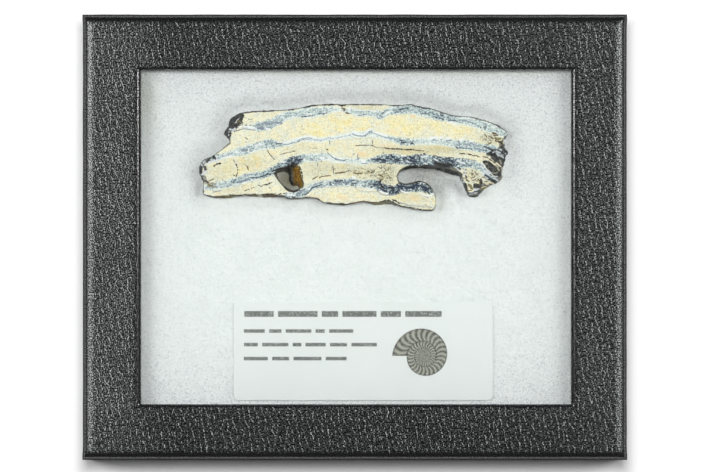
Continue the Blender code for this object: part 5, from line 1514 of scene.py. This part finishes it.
def model_label():
    """Card label with round corners and softened edges."""
    low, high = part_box("label_card")
    size = high - low
    deselect_all()
    bpy.ops.mesh.primitive_cube_add(size=1.0, location=(low + high) / 2, scale=size)
    card = new_piece("label_paper")
    apply_transform()

    def upright(edge):
        return abs(edge.verts[0].co.z - edge.verts[1].co.z) > size.z / 2

    bpy.ops.object.mode_set(mode="EDIT")
    edit_select(card, "EDGE", upright)
    bpy.ops.mesh.bevel(offset=CARD_CORNER, segments=8, profile=0.5)
    bpy.ops.object.mode_set(mode="OBJECT")
    apply_modifier(card, "BEVEL", width=CARD_EDGE, segments=2, limit_method="ANGLE")
    settle(card, 50)
    return card


def printed_bars(finish, x, y):
    """1 on the broken grey bars of the card, 0 beside them."""
    printed = 0.0
    for start, height, thickness, lengths in CARD_LINES:
        half = thickness / 2
        band = finish.fade(abs(y - height), half + PRINT_BLUR, half - PRINT_BLUR)
        row = 0.0
        for length in lengths:
            middle = start + length / 2
            row = finish.fade(abs(x - middle), length / 2 + 0.1, length / 2 - 0.1) + row
            start += length + BAR_GAP
        printed = row * band + printed
    return printed


def printed_shell(finish, x, y):
    """Share of the card that a coiled shell covers, and the shell's tone, ribbed and seamed."""
    east = x - SHELL_MIDDLE[0]
    north = y - SHELL_MIDDLE[1]
    turn = finish.math("ARCTAN2", north, east) / (2 * math.pi) + 0.5
    reach = finish.math("SQRT", east**2.0 + north**2.0)
    whorl = finish.math("LOGARITHM", reach / SHELL_RADIUS + 0.001, math.e) / SHELL_GROWTH - turn
    across = finish.math("FRACT", whorl + 20.0)
    seam = finish.fade(abs(across - 0.5), 0.36, 0.5)
    lean = turn * SHELL_RIBS + (across - 0.5) ** 2.0 * 2.0
    rib = finish.fade(finish.math("PINGPONG", lean + 40.0, 0.5), 0.12, 0.38)
    tone = finish.mix(rib, srgb(82, 84, 76), srgb(168, 170, 158))
    return finish.fade(whorl, 0.03, -0.03), finish.mix(seam * 0.85, tone, srgb(58, 60, 56))


def card_stock():
    """Smooth white card printed with broken grey bars and a coiled shell, with no lettering."""
    finish = Finish("card", Specular_IOR_Level=0.4)
    low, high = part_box("label_card")
    middle = (low + high) / 2
    place = finish.millimetres()
    x = finish.axis(place, "X") - middle.x / MM
    y = finish.axis(place, "Y") - middle.y / MM
    stipple = finish.noise(place, 3.2, 3.0, 0.7)
    shell, tone = printed_shell(finish, x, y)
    tone = finish.mix(finish.fade(stipple, 0.42, 0.66) * 0.45, tone, srgb(198, 200, 190))
    stock = finish.mix(finish.noise(place, 0.1, 3.0, 0.6), srgb(231, 237, 235), srgb(238, 243, 241))
    colour = finish.mix(shell, stock, tone)
    printed = printed_bars(finish, x, y) * finish.fade(stipple, 0.25, 0.5)
    colour = finish.mix(printed, colour, srgb(112, 117, 112))
    grain = finish.noise(place, 3.0, 3.0, 0.6)
    finish.set(Base_Color=colour, Roughness=0.55, Normal=finish.bump(grain, 0.02 * MM, 0.5))
    return finish.material


# ---------------------------------------------------------------- stage

# Width and middle of the view at the lid's top, and the camera's height above it
VIEW_WIDTH = 708 * (0.2571 * MM)
VIEW_CENTRE = (-0.2 * MM, 0.3 * MM)
CAMERA_DISTANCE = 1.3
SENSOR = 36.0  # millimetres, as the lens is

# Rectangular lamps: place, width, height, and power in watts
SIDE_BOXES = {
    "left_box": ((-0.46, 0.12, 0.5), 0.18, 0.36, 1.22),
    "right_box": ((0.46, 0.12, 0.5), 0.18, 0.36, 1.08),
}
OVERHEAD_FILL = ((0.0, 0.2, 1.49), 0.35, 0.35, 7.6)
SURROUND_STRENGTH = 0.08

# The floor glows, except under the case and a few millimetres round it, where a painted shadow
# stands in: a little further on the near side than left and right, and less far on the far side
FLOOR_SIZE = 4.0
FLOOR_GLOW = 0.45
GLOW_FADE = (-2.0, 5.0)
NEAR_EXTRA = 3.0
FAR_LESS = 4.0


def set_camera():
    """Long lens straight above the case, with +Y up."""
    _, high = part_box("case_lid")
    data = bpy.data.cameras.new("camera")
    data.sensor_width = SENSOR
    data.lens = SENSOR * CAMERA_DISTANCE / VIEW_WIDTH
    data.clip_end = 10.0
    camera = bpy.data.objects.new("camera", data)
    camera.location = (*VIEW_CENTRE, high.z + CAMERA_DISTANCE)
    bpy.context.scene.collection.objects.link(camera)
    bpy.context.scene.camera = camera


def soft_box(name, location, width, height, power):
    """Rectangular lamp that faces the middle of the case."""
    data = bpy.data.lights.new(name, "AREA")
    data.shape = "RECTANGLE"
    data.size = width
    data.size_y = height
    data.energy = power
    lamp = bpy.data.objects.new(name, data)
    lamp.location = location
    lamp.rotation_euler = (-Vector(location)).to_track_quat("-Z", "Y").to_euler()
    lamp.visible_transmission = False
    bpy.context.scene.collection.objects.link(lamp)
    return lamp


def set_lights():
    """A soft box on each side, a fill overhead that gives no glare, and a dim white surround."""
    for name, settings in SIDE_BOXES.items():
        soft_box(name, *settings)
    fill = soft_box("overhead_fill", *OVERHEAD_FILL)
    fill.visible_glossy = False
    world = bpy.data.worlds.new("surround")
    world.use_nodes = True
    background = world.node_tree.nodes["Background"]
    background.inputs["Color"].default_value = WHITE
    background.inputs["Strength"].default_value = SURROUND_STRENGTH
    bpy.context.scene.world = world


def lay_floor():
    """Plain pale table top, whose glow fades round the case into a painted shadow."""
    deselect_all()
    bpy.ops.mesh.primitive_plane_add(size=FLOOR_SIZE, location=(0.0, 0.0, 0.0))
    floor = new_piece("floor")
    finish = Finish("floor", Roughness=0.8, Specular_IOR_Level=0.2)
    _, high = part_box("case_lid")
    half_x, half_y = high.x / MM, high.y / MM
    place = finish.millimetres()
    x, y = finish.axis(place, "X"), finish.axis(place, "Y")
    near_or_far = finish.larger(0.0 - y - half_y - NEAR_EXTRA, y - half_y + FAR_LESS)
    outside = finish.larger(abs(x) - half_x, near_or_far)
    # Painted shadow: the glow dims to dark grey round the case
    glow = finish.mix(finish.fade(outside, *GLOW_FADE), srgb(60, 60, 60), WHITE)
    finish.set(Base_Color=WHITE, Emission_Color=glow, Emission_Strength=FLOOR_GLOW)
    floor.data.materials.append(finish.material)


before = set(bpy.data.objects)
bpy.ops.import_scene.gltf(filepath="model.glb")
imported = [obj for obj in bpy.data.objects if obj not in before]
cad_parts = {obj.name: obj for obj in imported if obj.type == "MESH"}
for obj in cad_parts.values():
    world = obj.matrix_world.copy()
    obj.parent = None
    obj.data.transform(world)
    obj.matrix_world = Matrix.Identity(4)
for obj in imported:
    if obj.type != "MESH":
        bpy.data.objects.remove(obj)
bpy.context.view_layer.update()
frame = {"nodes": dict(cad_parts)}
set_camera()
set_lights()
lay_floor()

finish_piece(model_lid(), "case_lid", leatherette())
dress_carried_nodes(frame)

pad = model_batting(tooth_tree(frame))
fibre = batting()
finish_piece(pad, "cotton_batting", fibre)
finish_piece(model_strands(pad), None, fibre)

finish_piece(model_tooth(frame), "tooth_slice", fossil())
finish_piece(model_label(), "label_card", card_stock())

bpy.context.scene.view_settings.view_transform = "Standard"
